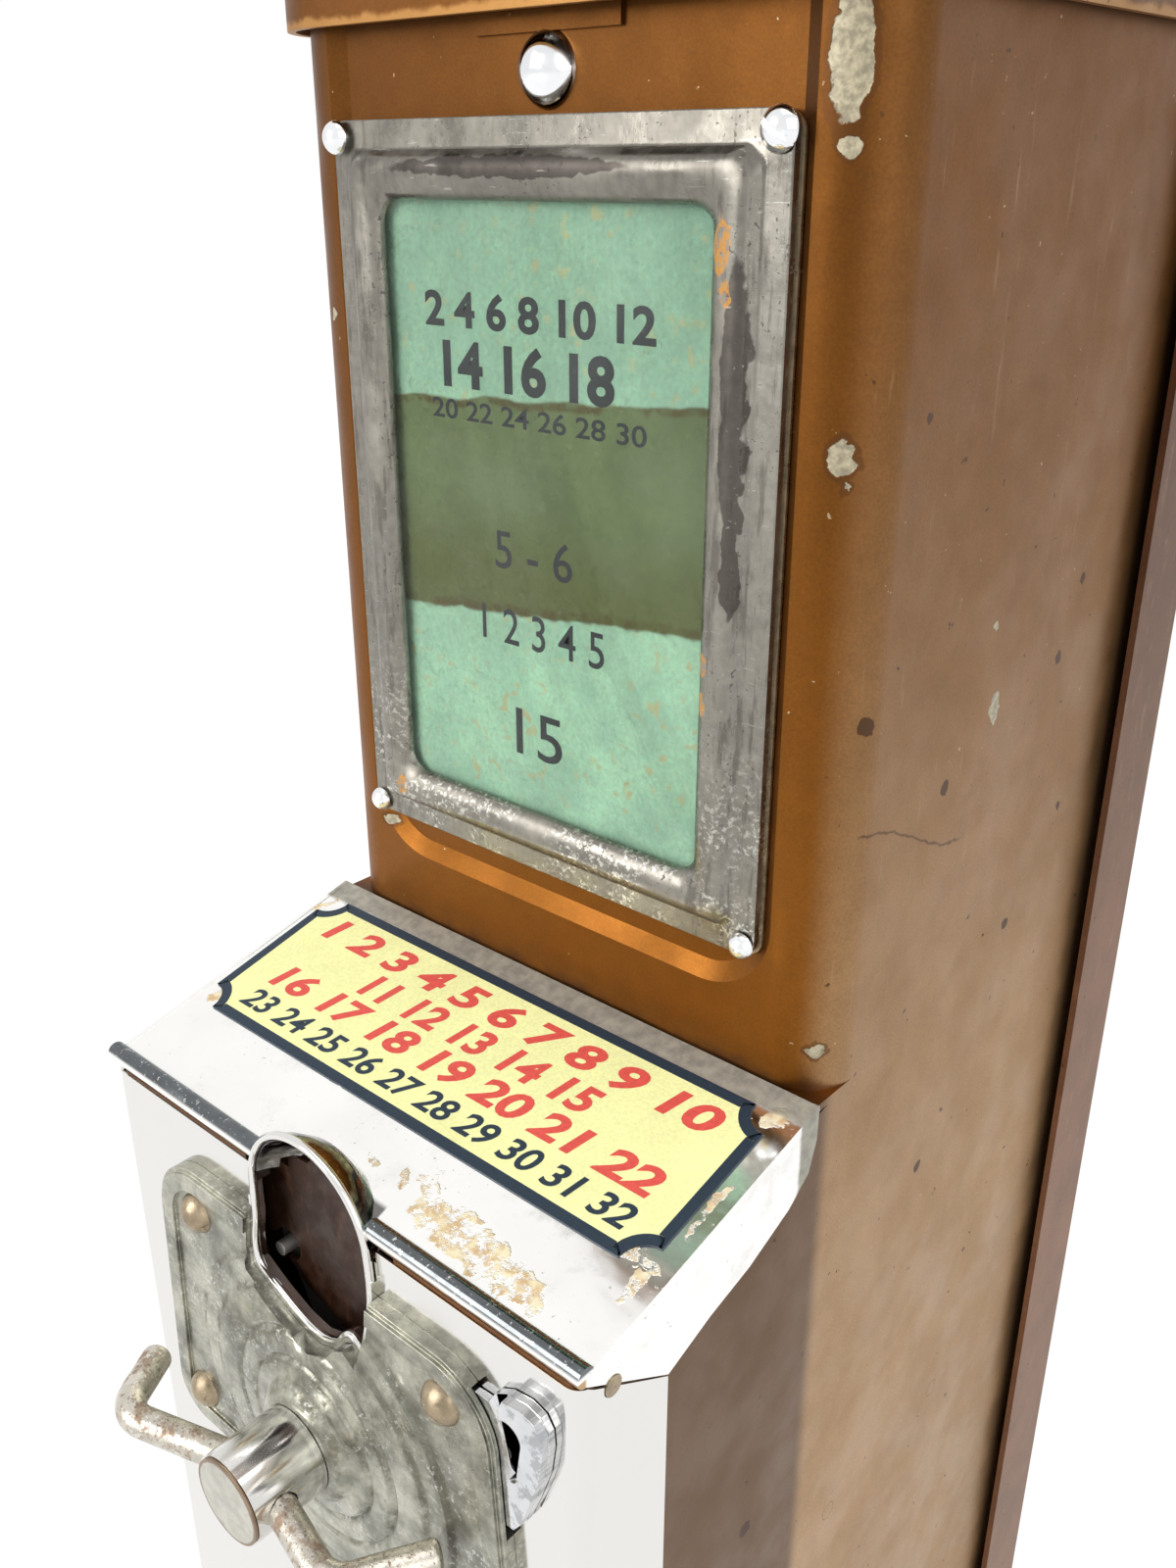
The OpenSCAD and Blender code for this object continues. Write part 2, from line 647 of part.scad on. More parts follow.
module front_panel() color("#c9c9c6") difference() {
  union() {
    difference() {
      translate([0, panel_y, 3]) linear_extrude(panel_top - 3)
        round_front(case_w + 2 * bright, front_flange + bright, 2.8);
      translate([0, fy, 0]) linear_extrude(panel_top + 5)
        round_front(case_w, front_flange + 5, 2);
    }
    plate(panel_y - 1.2, 1.3) {
      intersection() {
        slot(1.075);
        translate([-20, slot_z - slot_fall - 4]) square([40, slot_fall + 1]);
      }
      mouth(1.6);
    }
  }
  // mitred seam under the hood's side flange
  side(-hw - 5, case_w + 10) polygon([[fy + front_flange, ledge_z - 23.3],
    [fy - 0.4, ledge_z - hood_drop - 0.9], [fy - 0.4, ledge_z + 9],
    [fy + front_flange + 9, ledge_z + 9], [fy + front_flange + 9, ledge_z - 23.3]]);
  plate(panel_y - 3, 6) {
    slot(1);
    translate([-slot_r - 1, slot_z - 0.1]) square([2 * slot_r + 2, 10]);
    mouth(0);
    translate([0, hub_z]) circle(bush_r + 0.1);
  }
  for (s = [-1, 1]) {
    bar_y(s * lobe_x, panel_y - 1, lobe_z, shank_r + 0.1, 4);
    bar_y(s * ear_x, panel_y - 1, ear_z, shank_r + 0.1, 4);
  }
  flange_marks(1.55);
}

module flange_marks(r) {
  for (z = [ledge_z - 16.2, 24]) bar_x(-hw - 2, fy + 5, z, r, case_w + 4);
}

module flange_rivets() color("#bdbcb8")
  for (z = [ledge_z - 16.2, 24], s = [-1, 1]) {
    bar_x(s > 0 ? iw - 1 : -hw - bright - 0.15, fy + 5, z, 1.5, sheet + bright + 1.15);
    bar_x(s > 0 ? iw - 1 : -iw, fy + 5, z, 2.3, 1);
  }

// ---- stamped plate, rivets, lever ----

module escutcheon() color("#8f9089") difference() {
  union() {
    plate(plate_y, plate_t) plate_outline();
    plate(plate_y - 0.6, 1) difference() {
      plate_outline(0.8);
      plate_outline(3.8);
    }
    // stepped rings and boss around the shaft
    turned(0, plate_y + e, hub_z) polygon([[0, 0], [29, 0], [28.3, 0.7], [25, 0.8],
      [24.2, 1.3], [19, 1.5], [18, 1], [17.2, 1.8], [14.2, 2], [13.4, 1.5],
      [12.8, 2.3], [10.2, 2.6], [9.6, 3.4], [8.8, 4.2], [7.8, 4.6], [0, 4.6 + e]]);
  }
  plate(plate_y - 8, 12) {
    slot(1.08);
    translate([-slot_r * 1.08, slot_z - 1]) square([slot_r * 2.16, 20]);
  }
  bar_y(0, -80, hub_z, bush_r, 60);
  for (s = [-1, 1]) {
    bar_y(s * lobe_x, plate_y - 4, lobe_z, shank_r + 0.05, 9);
    bar_y(s * ear_x, plate_y - 4, ear_z, shank_r + 0.05, 9);
  }
  // pocket for the release lever
  plate(panel_y - 1.3, 1.3 + e) {
    translate([ear_x, ear_z]) circle(6.2);
    translate([ear_x, ear_z - 17.5]) square([20, 23.4]);
  }
}

module escutcheon_rivets() color("#a58f6a")
  for (s = [-1, 1], k = [0, 1]) {
    x = s * (k == 0 ? ear_x : lobe_x);
    z = k == 0 ? ear_z : lobe_z;
    dome(x, plate_y, z, rivet_d / 2, 2.3);
    bar_y(x, plate_y - e, z, shank_r, plate_t + bright + sheet + e);
    bar_y(x, fy + sheet, z, 2.6, 0.9);
  }

module coin_release_lever() color("#7f8286") translate([ear_x, 0, ear_z]) difference() {
  union() {
    plate(panel_y - 1.2, 1.1) {
      circle(5);
      polygon([[0, -5], [0, 5], [8.3, 5.6], [9.8, 8.1], [12.1, 9.5], [15.3, 10],
        [17.6, 9.4], [18.8, 7.6], [19, 5], [18.3, 0], [16.5, -5.6], [14.7, -10.6],
        [12.1, -14.6], [10.3, -14.6], [8.3, -11.5]]);
    }
    plate(panel_y - 2.6, 2.5) polygon([[11.3, 7.2], [12.1, 9.3], [15.3, 9.9],
      [17.6, 9.3], [18.7, 7.5], [18.9, 5], [18.2, 0], [16.4, -5.6], [14.9, -10],
      [14.3, -10], [13.4, -7.6], [12.2, 0]]);
  }
  bar_y(0, panel_y - 5, 0, shank_r + run + 0.02, 8);
  // tear-shaped finger hole
  plate(panel_y - 5, 8) {
    translate([12.9, 3.9]) circle(2.3);
    translate([13.1, -2.4]) circle(1.2);
    polygon([[10.65, 3.5], [15.15, 3.5], [14.25, -2.6], [11.95, -2.6]]);
  }
}

// ---- shaft, knob and handle ----

module shaft_bushing() color("#a58f4a") difference() {
  bar_y(0, dome_y + 0.2, hub_z, bush_r, back_y + back_t - dome_y - 0.2);
  bar_y(0, -90, hub_z, shaft_d / 2 + run, 90);
}

module drive_shaft() color("#8d8a82") difference() {
  bar_y(0, knob_y - knob_l + 1.1, hub_z, shaft_d / 2,
    bridge_y + bridge_t + collar_t - knob_y + knob_l - 0.8);
  rod_hole(0.05);
}

module rod_hole(g) {
  bar_x(-20, rod_y, hub_z, rod_d / 2 + g, 40);
}

module knob() color("#c9c9c6") difference() {
  bar_y(0, knob_y - knob_l + 0.5, hub_z, knob_d / 2, knob_l - 0.5);
  bar_y(0, knob_y - knob_l + 1, hub_z, shaft_d / 2, knob_l);
  rod_hole(0.15);
}

module knob_end_ring() color("#b08d57")
  bar_y(0, knob_y - knob_l, hub_z, knob_d / 2 - 0.3, 0.5);

// one handle arm as [x, y, heading] from the knob's axis to its tip: lean
// forwards on leaving the knob, a straight run, a bend back, a short tip
function arm(lean, reach, tip) = let(
  bent = [for (i = [1 : 4]) [rod_bend * 2 * sin(lean / 8), -lean / 4]],
  back = [for (i = [1 : 10]) [rod_bend * 2 * sin((lean + 60) / 20), (lean + 60) / 10]],
  steps = concat([[6, 0]], bent, [[reach, 0]], back, [[tip, 0]]))
  [for (i = 0, p = [0, 0], h = 0; i <= len(steps);
    h = i < len(steps) ? h + steps[i][1] : h,
    p = i < len(steps) ? p + steps[i][0] * [cos(h - steps[i][1] / 2), sin(h - steps[i][1] / 2)] : p,
    i = i + 1) [p[0], p[1], h]];

module handle_rod() color("#8a7a66") {
  left = arm(18, arm_l - 10.6, 8.2);
  right = arm(13, arm_l - 14.3, 11.8);
  n = 24;
  path = concat([for (i = [len(left) - 1 : -1 : 1]) [-left[i][0], left[i][1], -left[i][2]]],
    [for (i = [1 : len(right) - 1]) right[i]]);
  m = len(path);
  translate([0, rod_y, hub_z]) polyhedron(
    points = [for (q = path, k = [0 : n - 1]) let(c = rod_d / 2 * cos(360 * k / n))
      [q[0] - c * sin(q[2]), q[1] + c * cos(q[2]), rod_d / 2 * sin(360 * k / n)]],
    faces = concat([[for (k = [0 : n - 1]) k]],
      [for (j = [0 : m - 2], k = [0 : n - 1])
        [j * n + k, (j + 1) * n + k, (j + 1) * n + (k + 1) % n, j * n + (k + 1) % n]],
      [[for (k = [n - 1 : -1 : 0]) (m - 1) * n + k]]));
}

// ---- coin parts ----

module coin_arm() color("#6b4630") difference() {
  union() {
    plate(arm_y, arm_t) {
      translate([0, hub_z]) circle(9);
      translate([0, hub_z]) rotate(pin_a) {
        translate([-4, 0]) square([8, pin_r]);
        translate([0, pin_r]) circle(4);
      }
    }
    bar_y(0, arm_y, hub_z, 7, 6);
  }
  bar_y(0, arm_y - 1, hub_z, shaft_d / 2, 12);
  coin_pin_shape(1.2);
}

module coin_pin_shape(r) {
  bar_y(-pin_r * sin(pin_a), fy + sheet + 0.3, hub_z + pin_r * cos(pin_a), r,
    arm_y + arm_t - fy - sheet - 0.3);
}

module coin_pin() color("#9a958c") coin_pin_shape(1.2);

module coin_back_plate() color("#5e3520") difference() {
  union() {
    plate(back_y, back_t) polygon([[-9, slot_z - 20.5], [2, slot_z - 24],
      [24, slot_z - 24], [24, panel_top - 3.6], [10.2, panel_top - 3.6],
      [10.2, slot_z + 3.8], [-10.3, slot_z + 3.8], [-10.3, panel_top - 1],
      [-19, panel_top - 1], [-19, slot_z - 13]]);
    plate(back_y, back_t) translate([0, slot_z]) circle(6.8);
  }
  // curved way of the coin pin
  plate(back_y - 1, 4) intersection() {
    translate([0, hub_z]) difference() {
      circle(pin_r + 2.2);
      circle(pin_r - 2.2);
    }
    translate([-40, hub_z]) square([40 - pin_r * sin(pin_a), 60]);
  }
  bar_y(-pin_r * sin(pin_a), back_y - 1, hub_z + pin_r * cos(pin_a), 2.8, 5);
  post_holes(1.1);
}

module post_holes(r) {
  for (z = [slot_z - 20, slot_z - 7]) bar_y(20.4, fy - 0.5, z, r, 8);
}

module back_plate_posts() color("#8d8a82")
  for (z = [slot_z - 20, slot_z - 7]) {
    bar_y(20.4, fy + 0.1, z, 1.05, back_y + back_t - fy + 0.4);
    difference() {
      bar_y(20.4, fy + sheet, z, 2.2, back_y - fy - sheet);
    }
  }

module coin_chute() color("#8f8d86") difference() {
  plate(fy + sheet, 8) chute_outline(0);
  plate(fy + sheet - 1, 8) chute_outline(1);
}

// outline of the coin chute, drawn in by g, longer at both ends where g > 0
module chute_outline(g) {
  x0 = -drawer_w / 2 + 0.6 + g;
  x1 = -drawer_w / 2 + 0.6 + coin_d + 2.6 - g;
  polygon([[x0, hub_z - 18 + 2 * g], [-4 - g, hub_z - 18 + 2 * g],
    [-4 - g, hub_z - 24 + g / 2], [x1, hub_z - 56], [x1, drawer_z + drawer_h + 3 - 2 * g],
    [x0, drawer_z + drawer_h + 3 - 2 * g]]);
}

// ---- drive ----

module bearing_bridge() color("#8f8d86") difference() {
  union() {
    plate(bridge_y, bridge_t) {
      translate([-iw, hub_z - 10]) square([2 * iw, 20]);
    }
    for (s = [-1, 1]) translate([s > 0 ? iw - 1.2 : -iw, bridge_y - 8, hub_z - 10])
      cube([1.2, 8 + bridge_t, 20]);
    bar_y(0, bridge_y - 2.4, hub_z, 8, 2.4 + bridge_t);
  }
  bar_y(0, bridge_y - 6, hub_z, shaft_d / 2 + run, 12);
}

module shaft_end_collar() color("#9a958c") difference() {
  bar_y(0, bridge_y + bridge_t + 0.2, hub_z, shaft_d / 2 + 2.6, collar_t);
  bar_y(0, bridge_y, hub_z, shaft_d / 2, 9);
}

module tooth(k) rotate(k) polygon([[-modl, gear_r - 1.15 * modl],
  [-0.65 * modl, gear_r], [-0.36 * modl, gear_r + 0.8 * modl],
  [0.36 * modl, gear_r + 0.8 * modl], [0.65 * modl, gear_r],
  [modl, gear_r - 1.15 * modl]]);

module toothed_sector() color("#8d8a82") difference() {
  union() {
    plate(gear_y, gear_w) translate([0, hub_z]) {
      circle(8);
      intersection() {
        circle(gear_r - 1.1 * modl);
        polygon([[0, 0], [-40, 14], [-40, -40], [14, -40]]);
      }
      // teeth from the left side round to the bottom
      for (i = [0 : 6]) tooth(180 - 360 / gear_n * (i - 0.5));
    }
    bar_y(0, gear_y - 4, hub_z, 8, 4);
  }
  bar_y(0, gear_y - 6, hub_z, shaft_d / 2, 20);
}

module pusher_slide() color("#9a958c") {
  // plate under the stack's side, with its arm to the rack
  difference() {
    translate([-iw + 1.4, gear_y, push_z]) cube([iw - 1.4 - push_x, folder_l + fold_y - gear_y, push_t]);
    translate([-iw + 8, fold_y + 10, push_z - 1]) cube([14, folder_l - 20, push_t + 2]);
  }
  plate(gear_y, gear_w) difference() {
    union() {
      translate([-6.4 * pitch, push_z]) square([7.7 * pitch, line_z - push_z - 1.15 * modl]);
      for (i = [-6 : 1]) translate([i * pitch, line_z]) polygon([
        [-modl * 1.02, -1.16 * modl], [-0.65 * modl, 0], [-0.37 * modl, 0.75 * modl],
        [0.37 * modl, 0.75 * modl], [0.65 * modl, 0], [modl * 1.02, -1.16 * modl]]);
    }
  }
}

module next_folder() color("#e9e2cf")
  translate([-stack_x, fold_y, push_z + 0.1]) cube([folder_w, folder_l, folder_t]);

module pusher_floor() color("#8f8d86") difference() {
  union() {
    translate([-iw, 0.6, floor_z - floor_t]) cube([2 * iw, ramp_y + 1, floor_t]);
    translate([-iw, 0.6, floor_z - 12]) cube([1.2, ramp_y + 1, 12]);
    translate([iw - 1.2, 0.6, floor_z - 12]) cube([1.2, ramp_y + 1, 12]);
  }
  translate([drop_x, fold_y - 1, floor_z - 5])
    cube([iw - 1.2 - drop_x, folder_l + 2, 10]);
  floor_holes(1.65);
}

module floor_rivets() color("#7a5226")
  for (y = [14, ramp_y - 14], s = [-1, 1])
    translate([s * hw, y, floor_z - 7.5]) rotate([0, s * 90, 0])
      rotate_extrude() flush_profile(1.6, sheet + 1.2);

// ---- magazine ----

module magazine() color("#a3a096") difference() {
  union() {
    difference() {
      translate([-mag_in - mag_t, mag_y, mag_z])
        cube([2 * (mag_in + mag_t), folder_l + 3.6 + 2 * mag_t, magazine_h]);
      translate([-mag_in, mag_y + mag_t, mag_z - 1])
        cube([2 * mag_in, folder_l + 3.6, magazine_h + 2]);
    }
    // tab that the front bolt holds
    translate([-9, mag_y, mag_top - 20]) cube([18, mag_t, bolt_z + 7 - mag_top + 20]);
  }
  // finger opening down the back
  translate([-8, folder_l, stack_z + 14]) cube([16, 12, magazine_h]);
  bar_y(0, 0, bolt_z, 2.5, 12);
}

module stamp_folders() color("#e9e2cf")
  translate([-stack_x, fold_y, stack_z]) cube([folder_w, folder_l, stack_h]);

module feed_weight() color("#55534e") difference() {
  translate([-stack_x + 0.3, fold_y, stack_z + stack_h])
    cube([folder_w - 0.6, folder_l, weight_h]);
  for (s = [-1, 1]) translate([0, fold_y + folder_l / 2 + s * 10, stack_z + stack_h + 6])
    cylinder(r = 1.3, h = weight_h);
}

module weight_handle() color("#9a958c") translate([0, fold_y + folder_l / 2,
  stack_z + stack_h + 6]) {
  for (s = [-1, 1]) translate([0, s * 10, 0]) cylinder(r = 1.3, h = weight_h - 2);
  difference() {
    translate([0, 0, weight_h - 2]) rotate([90, 0, 90]) rotate_extrude()
      translate([10, 0]) circle(1.3);
    translate([-5, -20, -20]) cube([10, 40, weight_h + 18]);
  }
}

// ---- delivery ----

module delivery_chute() color("#a3a096") {
  y0 = fy + sheet;
  top = floor_z - floor_t;
  // sloping floor
  side(chute_x0, iw - 1 - chute_x0) polygon([[y0, mouth_z - 2.2], [y0, mouth_z - 1],
    [ramp_y, ramp_z], [ramp_y, ramp_z - 1.2]]);
  // inner wall, outer wall and back wall
  side(chute_x0, 1) polygon([[y0, mouth_z - 2.2], [y0, mouth_z + mouth_h + 1],
    [-2, top], [ramp_y, top], [ramp_y, ramp_z - 1.2]]);
  side(iw - 1.2, 1.2) polygon([[y0 + 1, mouth_z - 2.2], [y0 + 1, mouth_z + mouth_h + 1],
    [-2, floor_z - 12.2], [ramp_y, floor_z - 12.2], [ramp_y, ramp_z - 1.2]]);
  translate([chute_x0, ramp_y - 1, ramp_z - 1.2])
    cube([iw - 1.2 - chute_x0, 1, top - ramp_z + 1.2]);
}

// ---- cash drawer ----

module cash_drawer() color("#8f8d86") difference() {
  translate([-drawer_w / 2, drawer_y0, drawer_z])
    cube([drawer_w, case_back - 0.2 - drawer_y0, drawer_h]);
  translate([-drawer_w / 2 + sheet, drawer_y0 + sheet, drawer_z + sheet])
    cube([drawer_w - 2 * sheet, case_back - 0.2 - drawer_y0 - 2 * sheet, drawer_h]);
  bar_y(lock_x, case_back - 6, lock_z, 6, 10);
}

module drawer_front() color("#7d5526") difference() {
  translate([-drawer_w / 2 - 0.5, case_back - 0.2, drawer_z - 0.5])
    cube([drawer_w + 1, 1.4, drawer_h + 1.6]);
  bar_y(lock_x, case_back - 6, lock_z, 6, 10);
}

module drawer_rails() color("#8f8d86")
  for (s = [0, 1]) mirror([s, 0, 0]) {
    translate([drawer_w / 2 + 0.4, drawer_y0, 1.6])
      cube([1.2, case_back - sheet - 0.3 - drawer_y0, 14]);
    translate([drawer_w / 2 - 5, drawer_y0, 1.6])
      cube([5.4 + e, case_back - sheet - 0.3 - drawer_y0, rail_z - 1.6]);
  }

module drawer_lock_barrel() color("#b9b6ae") mirror([0, 1, 0])
  lock_barrel(lock_x, -case_back - 1.2, lock_z, 5.4, 5.9);

module drawer_lock_plug() color("#8d8a82") difference() {
  union() {
    bar_y(lock_x, case_back - 6.2, lock_z, key_r, 9.2);
    translate([lock_x - 23, case_back - 6.2, lock_z - 3]) cube([23, 1.5, 6]);
  }
  translate([lock_x - 0.6, case_back + 0.6, lock_z - 2.6]) cube([1.2, 4, 5.2]);
}

module drawer_pull() color("#9a958c") difference() {
  translate([-12, case_back + 1.2, lock_z - 5]) cube([24, 9, 10]);
  translate([-10.8, case_back + 2.4, lock_z - 6]) cube([21.6, 9, 9.8]);
}

case_shell();
base_plate();
base_rivets();
back_cover();
back_cover_screws();
top_lid();
lid_hinge_leaf();
lid_hinge_rivets();
lid_hinge_pin();
lid_lock_barrel();
lid_lock_plug();
lid_lock_keeper();
front_bolt();
front_bolt_nut();
window_bezel();
window_glass();
display_card();
backing_sheet();
bezel_dome_nail();
bezel_slotted_screw();
bezel_round_screws();
hood();
hood_label();
front_panel();
flange_rivets();
escutcheon();
escutcheon_rivets();
coin_release_lever();
shaft_bushing();
drive_shaft();
knob();
knob_end_ring();
handle_rod();
coin_arm();
coin_pin();
coin_back_plate();
back_plate_posts();
coin_chute();
bearing_bridge();
shaft_end_collar();
toothed_sector();
pusher_slide();
next_folder();
pusher_floor();
floor_rivets();
magazine();
stamp_folders();
feed_weight();
weight_handle();
delivery_chute();
cash_drawer();
drawer_front();
drawer_rails();
drawer_lock_barrel();
drawer_lock_plug();
drawer_pull();
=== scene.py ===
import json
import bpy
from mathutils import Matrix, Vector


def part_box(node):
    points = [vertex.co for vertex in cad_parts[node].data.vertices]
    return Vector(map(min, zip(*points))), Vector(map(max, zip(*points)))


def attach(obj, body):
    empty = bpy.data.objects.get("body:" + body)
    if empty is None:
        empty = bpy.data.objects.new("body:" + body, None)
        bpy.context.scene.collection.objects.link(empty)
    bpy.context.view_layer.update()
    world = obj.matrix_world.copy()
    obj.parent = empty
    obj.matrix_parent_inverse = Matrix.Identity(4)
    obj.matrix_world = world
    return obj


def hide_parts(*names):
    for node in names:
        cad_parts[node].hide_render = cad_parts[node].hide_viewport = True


bl_info = {
    "name": "Stamp Vending Machine",
    "version": (1, 0, 0),
    "blender": (4, 5, 0),
    "location": "View3D > Sidebar > Stamp Machine",
    "description": "Dresses the stamp vending machine's frame with its finished pieces",
    "category": "Object",
}

from math import atan2, cos, pi, radians, sin

import bmesh
import bpy
from mathutils import Matrix, Vector

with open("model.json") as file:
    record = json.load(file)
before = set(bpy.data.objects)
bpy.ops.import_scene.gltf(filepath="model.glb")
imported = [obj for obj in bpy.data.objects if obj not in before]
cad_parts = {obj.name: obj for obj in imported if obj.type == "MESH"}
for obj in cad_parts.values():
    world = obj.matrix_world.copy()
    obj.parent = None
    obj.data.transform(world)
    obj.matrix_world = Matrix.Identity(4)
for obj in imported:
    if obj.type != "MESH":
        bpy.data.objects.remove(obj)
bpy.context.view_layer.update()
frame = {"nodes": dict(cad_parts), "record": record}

MM = 0.001
RECORD = frame["record"]
BODY = {n: b for b, names in RECORD["behaviour"]["bodies"].items() for n in names}


def box(node):
    """Lowest and highest corner of a frame node in millimetres."""
    low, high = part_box(node)
    return Vector(low) / MM, Vector(high) / MM


def centre(node):
    """Middle of a frame node's box in millimetres."""
    low, high = box(node)
    return (low + high) / 2


# the coin slot's arch: its radius and the height of its centre, in millimetres
SLOT_R = 12.8
SLOT_Z = centre("knob").z + 39
DISH_Y = box("backing_sheet")[1].y      # face of the dished front


def srgb(r, g, b):
    """Linear colour from the 0 to 255 values read off a screen."""
    return tuple((v / 255 / 12.92) if v <= 10 else ((v / 255 + 0.055) / 1.055) ** 2.4
                 for v in (r, g, b))


# ---- sizes and colours that a user may change ----

def length(label, text, value, low, high):
    """A length that a user may change, given in millimetres."""
    return bpy.props.FloatProperty(name=label, description=text, default=value * MM,
                                   min=low * MM, max=high * MM, unit="LENGTH",
                                   subtype="DISTANCE", precision=5)


def colour(label, text, rgb):
    """A colour that a user may change, given as 0 to 255 values."""
    return bpy.props.FloatVectorProperty(name=label, description=text, size=3,
                                         default=srgb(*rgb), min=0.0, max=1.0,
                                         subtype="COLOR")


class MachineSizes(bpy.types.PropertyGroup):
    press_round: length("Pressed edge", "Rounding of the dished front's edges", 0.7, 0, 1.2)
    fold_round: length("Fold", "Rounding of the bright sheet's folds", 0.55, 0, 1)
    frame_roll: length("Frame roll", "Height of the card frame's rolled border", 2.2, 1, 2.6)
    label_border: length("Label border", "Width of the label's dark border", 1.7, 0.5, 4)
    plate_round: length("Plate edge", "Rounding of the stamped plate's edges", 0.4, 0, 0.8)


class MachineColours(bpy.types.PropertyGroup):
    # the front and side tones, and the paler tone low on the sides, carry painted light
    front_paint: colour("Front paint", "Bronze paint where it faces forward", (110, 65, 12))
    side_paint: colour("Side paint", "Bronze paint high on the sides", (115, 73, 30))
    side_low_painted_light: colour("Side paint, low", "Paler paint low on the sides", (170, 136, 97))
    bright_steel: colour("Bright steel", "Plated hood and front", (250, 249, 246))
    dull_plate: colour("Dull plate", "Stamped plate behind the handle", (160, 159, 146))
    nickel: colour("Nickel", "Worn plating of the card frame", (138, 134, 125))
    brass: colour("Brass", "Tarnished rivets", (158, 142, 118))
    card_paper: colour("Card", "Printed card behind the glass", (186, 222, 194))
    label_paper: colour("Label paper", "Middle of the hood's label", (250, 249, 178))
    label_edge: colour("Label edge", "Border of the hood's label", (22, 42, 58))
    label_red: colour("Label red", "Large figures on the label", (226, 84, 74))
    ink: colour("Ink", "Figures printed on the card", (16, 20, 24))


def sizes():
    return bpy.context.scene.machine_sizes


def colours():
    return bpy.context.scene.machine_colours


# ---- finishes ----

def wire(tree, kind, *inputs, **settings):
    """A new shader node. Its inputs, in order, are other nodes' sockets or plain values."""
    node = tree.nodes.new("ShaderNode" + kind)
    for key, value in settings.items():
        setattr(node, key, value)
    for socket, value in zip(node.inputs, inputs):
        if isinstance(value, bpy.types.NodeSocket):
            tree.links.new(value, socket)
        elif value is not None:
            socket.default_value = value
    return node


class Finish:
    """A material with short calls for the nodes that the finishes share. Lengths in its
    patterns are millimetres, read from the object's own coordinates."""

    def __init__(self, name, rough, metal):
        self.material = bpy.data.materials.new(name)
        self.material.use_nodes = True
        self.tree = self.material.node_tree
        self.shader = self.tree.nodes["Principled BSDF"]
        self.shader.inputs["Roughness"].default_value = rough
        self.shader.inputs["Metallic"].default_value = metal
        self.place = self.add("TexCoord").outputs
        self.mm = self.stretched(1 / MM, 1 / MM, 1 / MM, self.place["Object"])
        self.x, self.y, self.z = self.add("SeparateXYZ", self.mm).outputs
        self.relief = None

    def add(self, kind, *inputs, **settings):
        return wire(self.tree, kind, *inputs, **settings)

    def math(self, operation, *inputs):
        return self.add("Math", *inputs, operation=operation).outputs[0]

    def times(self, a, b):
        return self.math("MULTIPLY", a, b)

    def plus(self, a, b):
        return self.math("ADD", a, b)

    def less(self, a, b):
        return self.math("SUBTRACT", a, b)

    def either(self, a, b):
        return self.math("MAXIMUM", a, b)

    def size(self, a):
        return self.math("ABSOLUTE", a)

    def reach(self, a, b):
        """Distance from an axis, from the two coordinates across it."""
        return self.math("SQRT", self.plus(self.times(a, a), self.times(b, b)))

    def vector(self, operation, *inputs, out=0):
        return self.add("VectorMath", *inputs, operation=operation).outputs[out]

    def ramp(self, value, low, high, out_low=0.0, out_high=1.0):
        """value from low to high as a smooth step from out_low to out_high."""
        return self.add("MapRange", value, low, high, out_low, out_high,
                        interpolation_type="SMOOTHSTEP").outputs[0]

    def stretched(self, x, y, z, where=None):
        return self.add("Mapping", where or self.mm, None, None, (x, y, z)).outputs[0]

    def sideways(self, low):
        """0 on faces that look forward or back, 1 on those that look to a side."""
        facing = self.add("SeparateXYZ", self.place["Normal"]).outputs[0]
        return self.ramp(self.size(facing), low, 0.95)

    def noise(self, size, detail=4.0, rough=0.55, where=None, out="Fac"):
        """Noise from 0 to 1 with features of about that size."""
        return self.add("TexNoise", where or self.mm, None, 1 / size, detail, rough).outputs[out]

    def patch(self, low, high, *noise, **where):
        """0 where such noise is below low, rising to 1 where it is above high."""
        return self.ramp(self.noise(*noise, **where), low, high)

    def spots(self, size, cover, detail=3.0, soft=0.03):
        """Irregular spots that cover more of the surface as cover rises from 0 to 1."""
        edge = 0.76 - 0.5 * cover
        return self.patch(edge, edge + soft, size, detail, 0.6)

    def mix(self, amount, a, b):
        node = self.add("Mix", amount, data_type="RGBA")
        for socket, value in ((node.inputs[6], a), (node.inputs[7], b)):
            if isinstance(value, bpy.types.NodeSocket):
                self.tree.links.new(value, socket)
            else:
                socket.default_value = (*value, 1)
        return node.outputs[2]

    def coat(self, under, where, strength, *rgb):
        """The colour under, with another over it where a pattern is 1, at that strength."""
        return self.mix(self.times(where, strength), under, srgb(*rgb))

    def shade(self, tone, size, amount, detail=4.0, where=None):
        """The colour made lighter and darker in patches."""
        patch = self.ramp(self.noise(size, detail, 0.6, where), 0.3, 0.7,
                          1 - amount, 1 + amount)
        return self.vector("SCALE", tone, None, None, patch)

    def ragged(self, amount, size):
        """Coordinates pushed about by noise, for uneven edges."""
        cloud = self.noise(size, 3.0, 0.5, out="Color")
        middle = self.vector("SUBTRACT", cloud, (0.5, 0.5, 0.5))
        return self.vector("ADD", self.mm, self.vector("SCALE", middle, None, None, 2 * amount))

    def marks(self, where, places):
        """1 inside each mark. A mark is (x, y, z, radius) or, for a long one,
        (x, y, z, radius, stretch x, stretch y, stretch z)."""
        total = None
        for place in places:
            away, radius = self.vector("SUBTRACT", where, place[:3]), place[3]
            if len(place) > 4:
                away = self.vector("MULTIPLY", away, place[4:])
            mark = self.ramp(self.vector("LENGTH", away, out=1), radius * 1.12, radius)
            total = mark if total is None else self.either(total, mark)
        return total

    def colour(self, value):
        self.tree.links.new(value, self.shader.inputs["Base Color"])

    def rough(self, value):
        self.tree.links.new(value, self.shader.inputs["Roughness"])

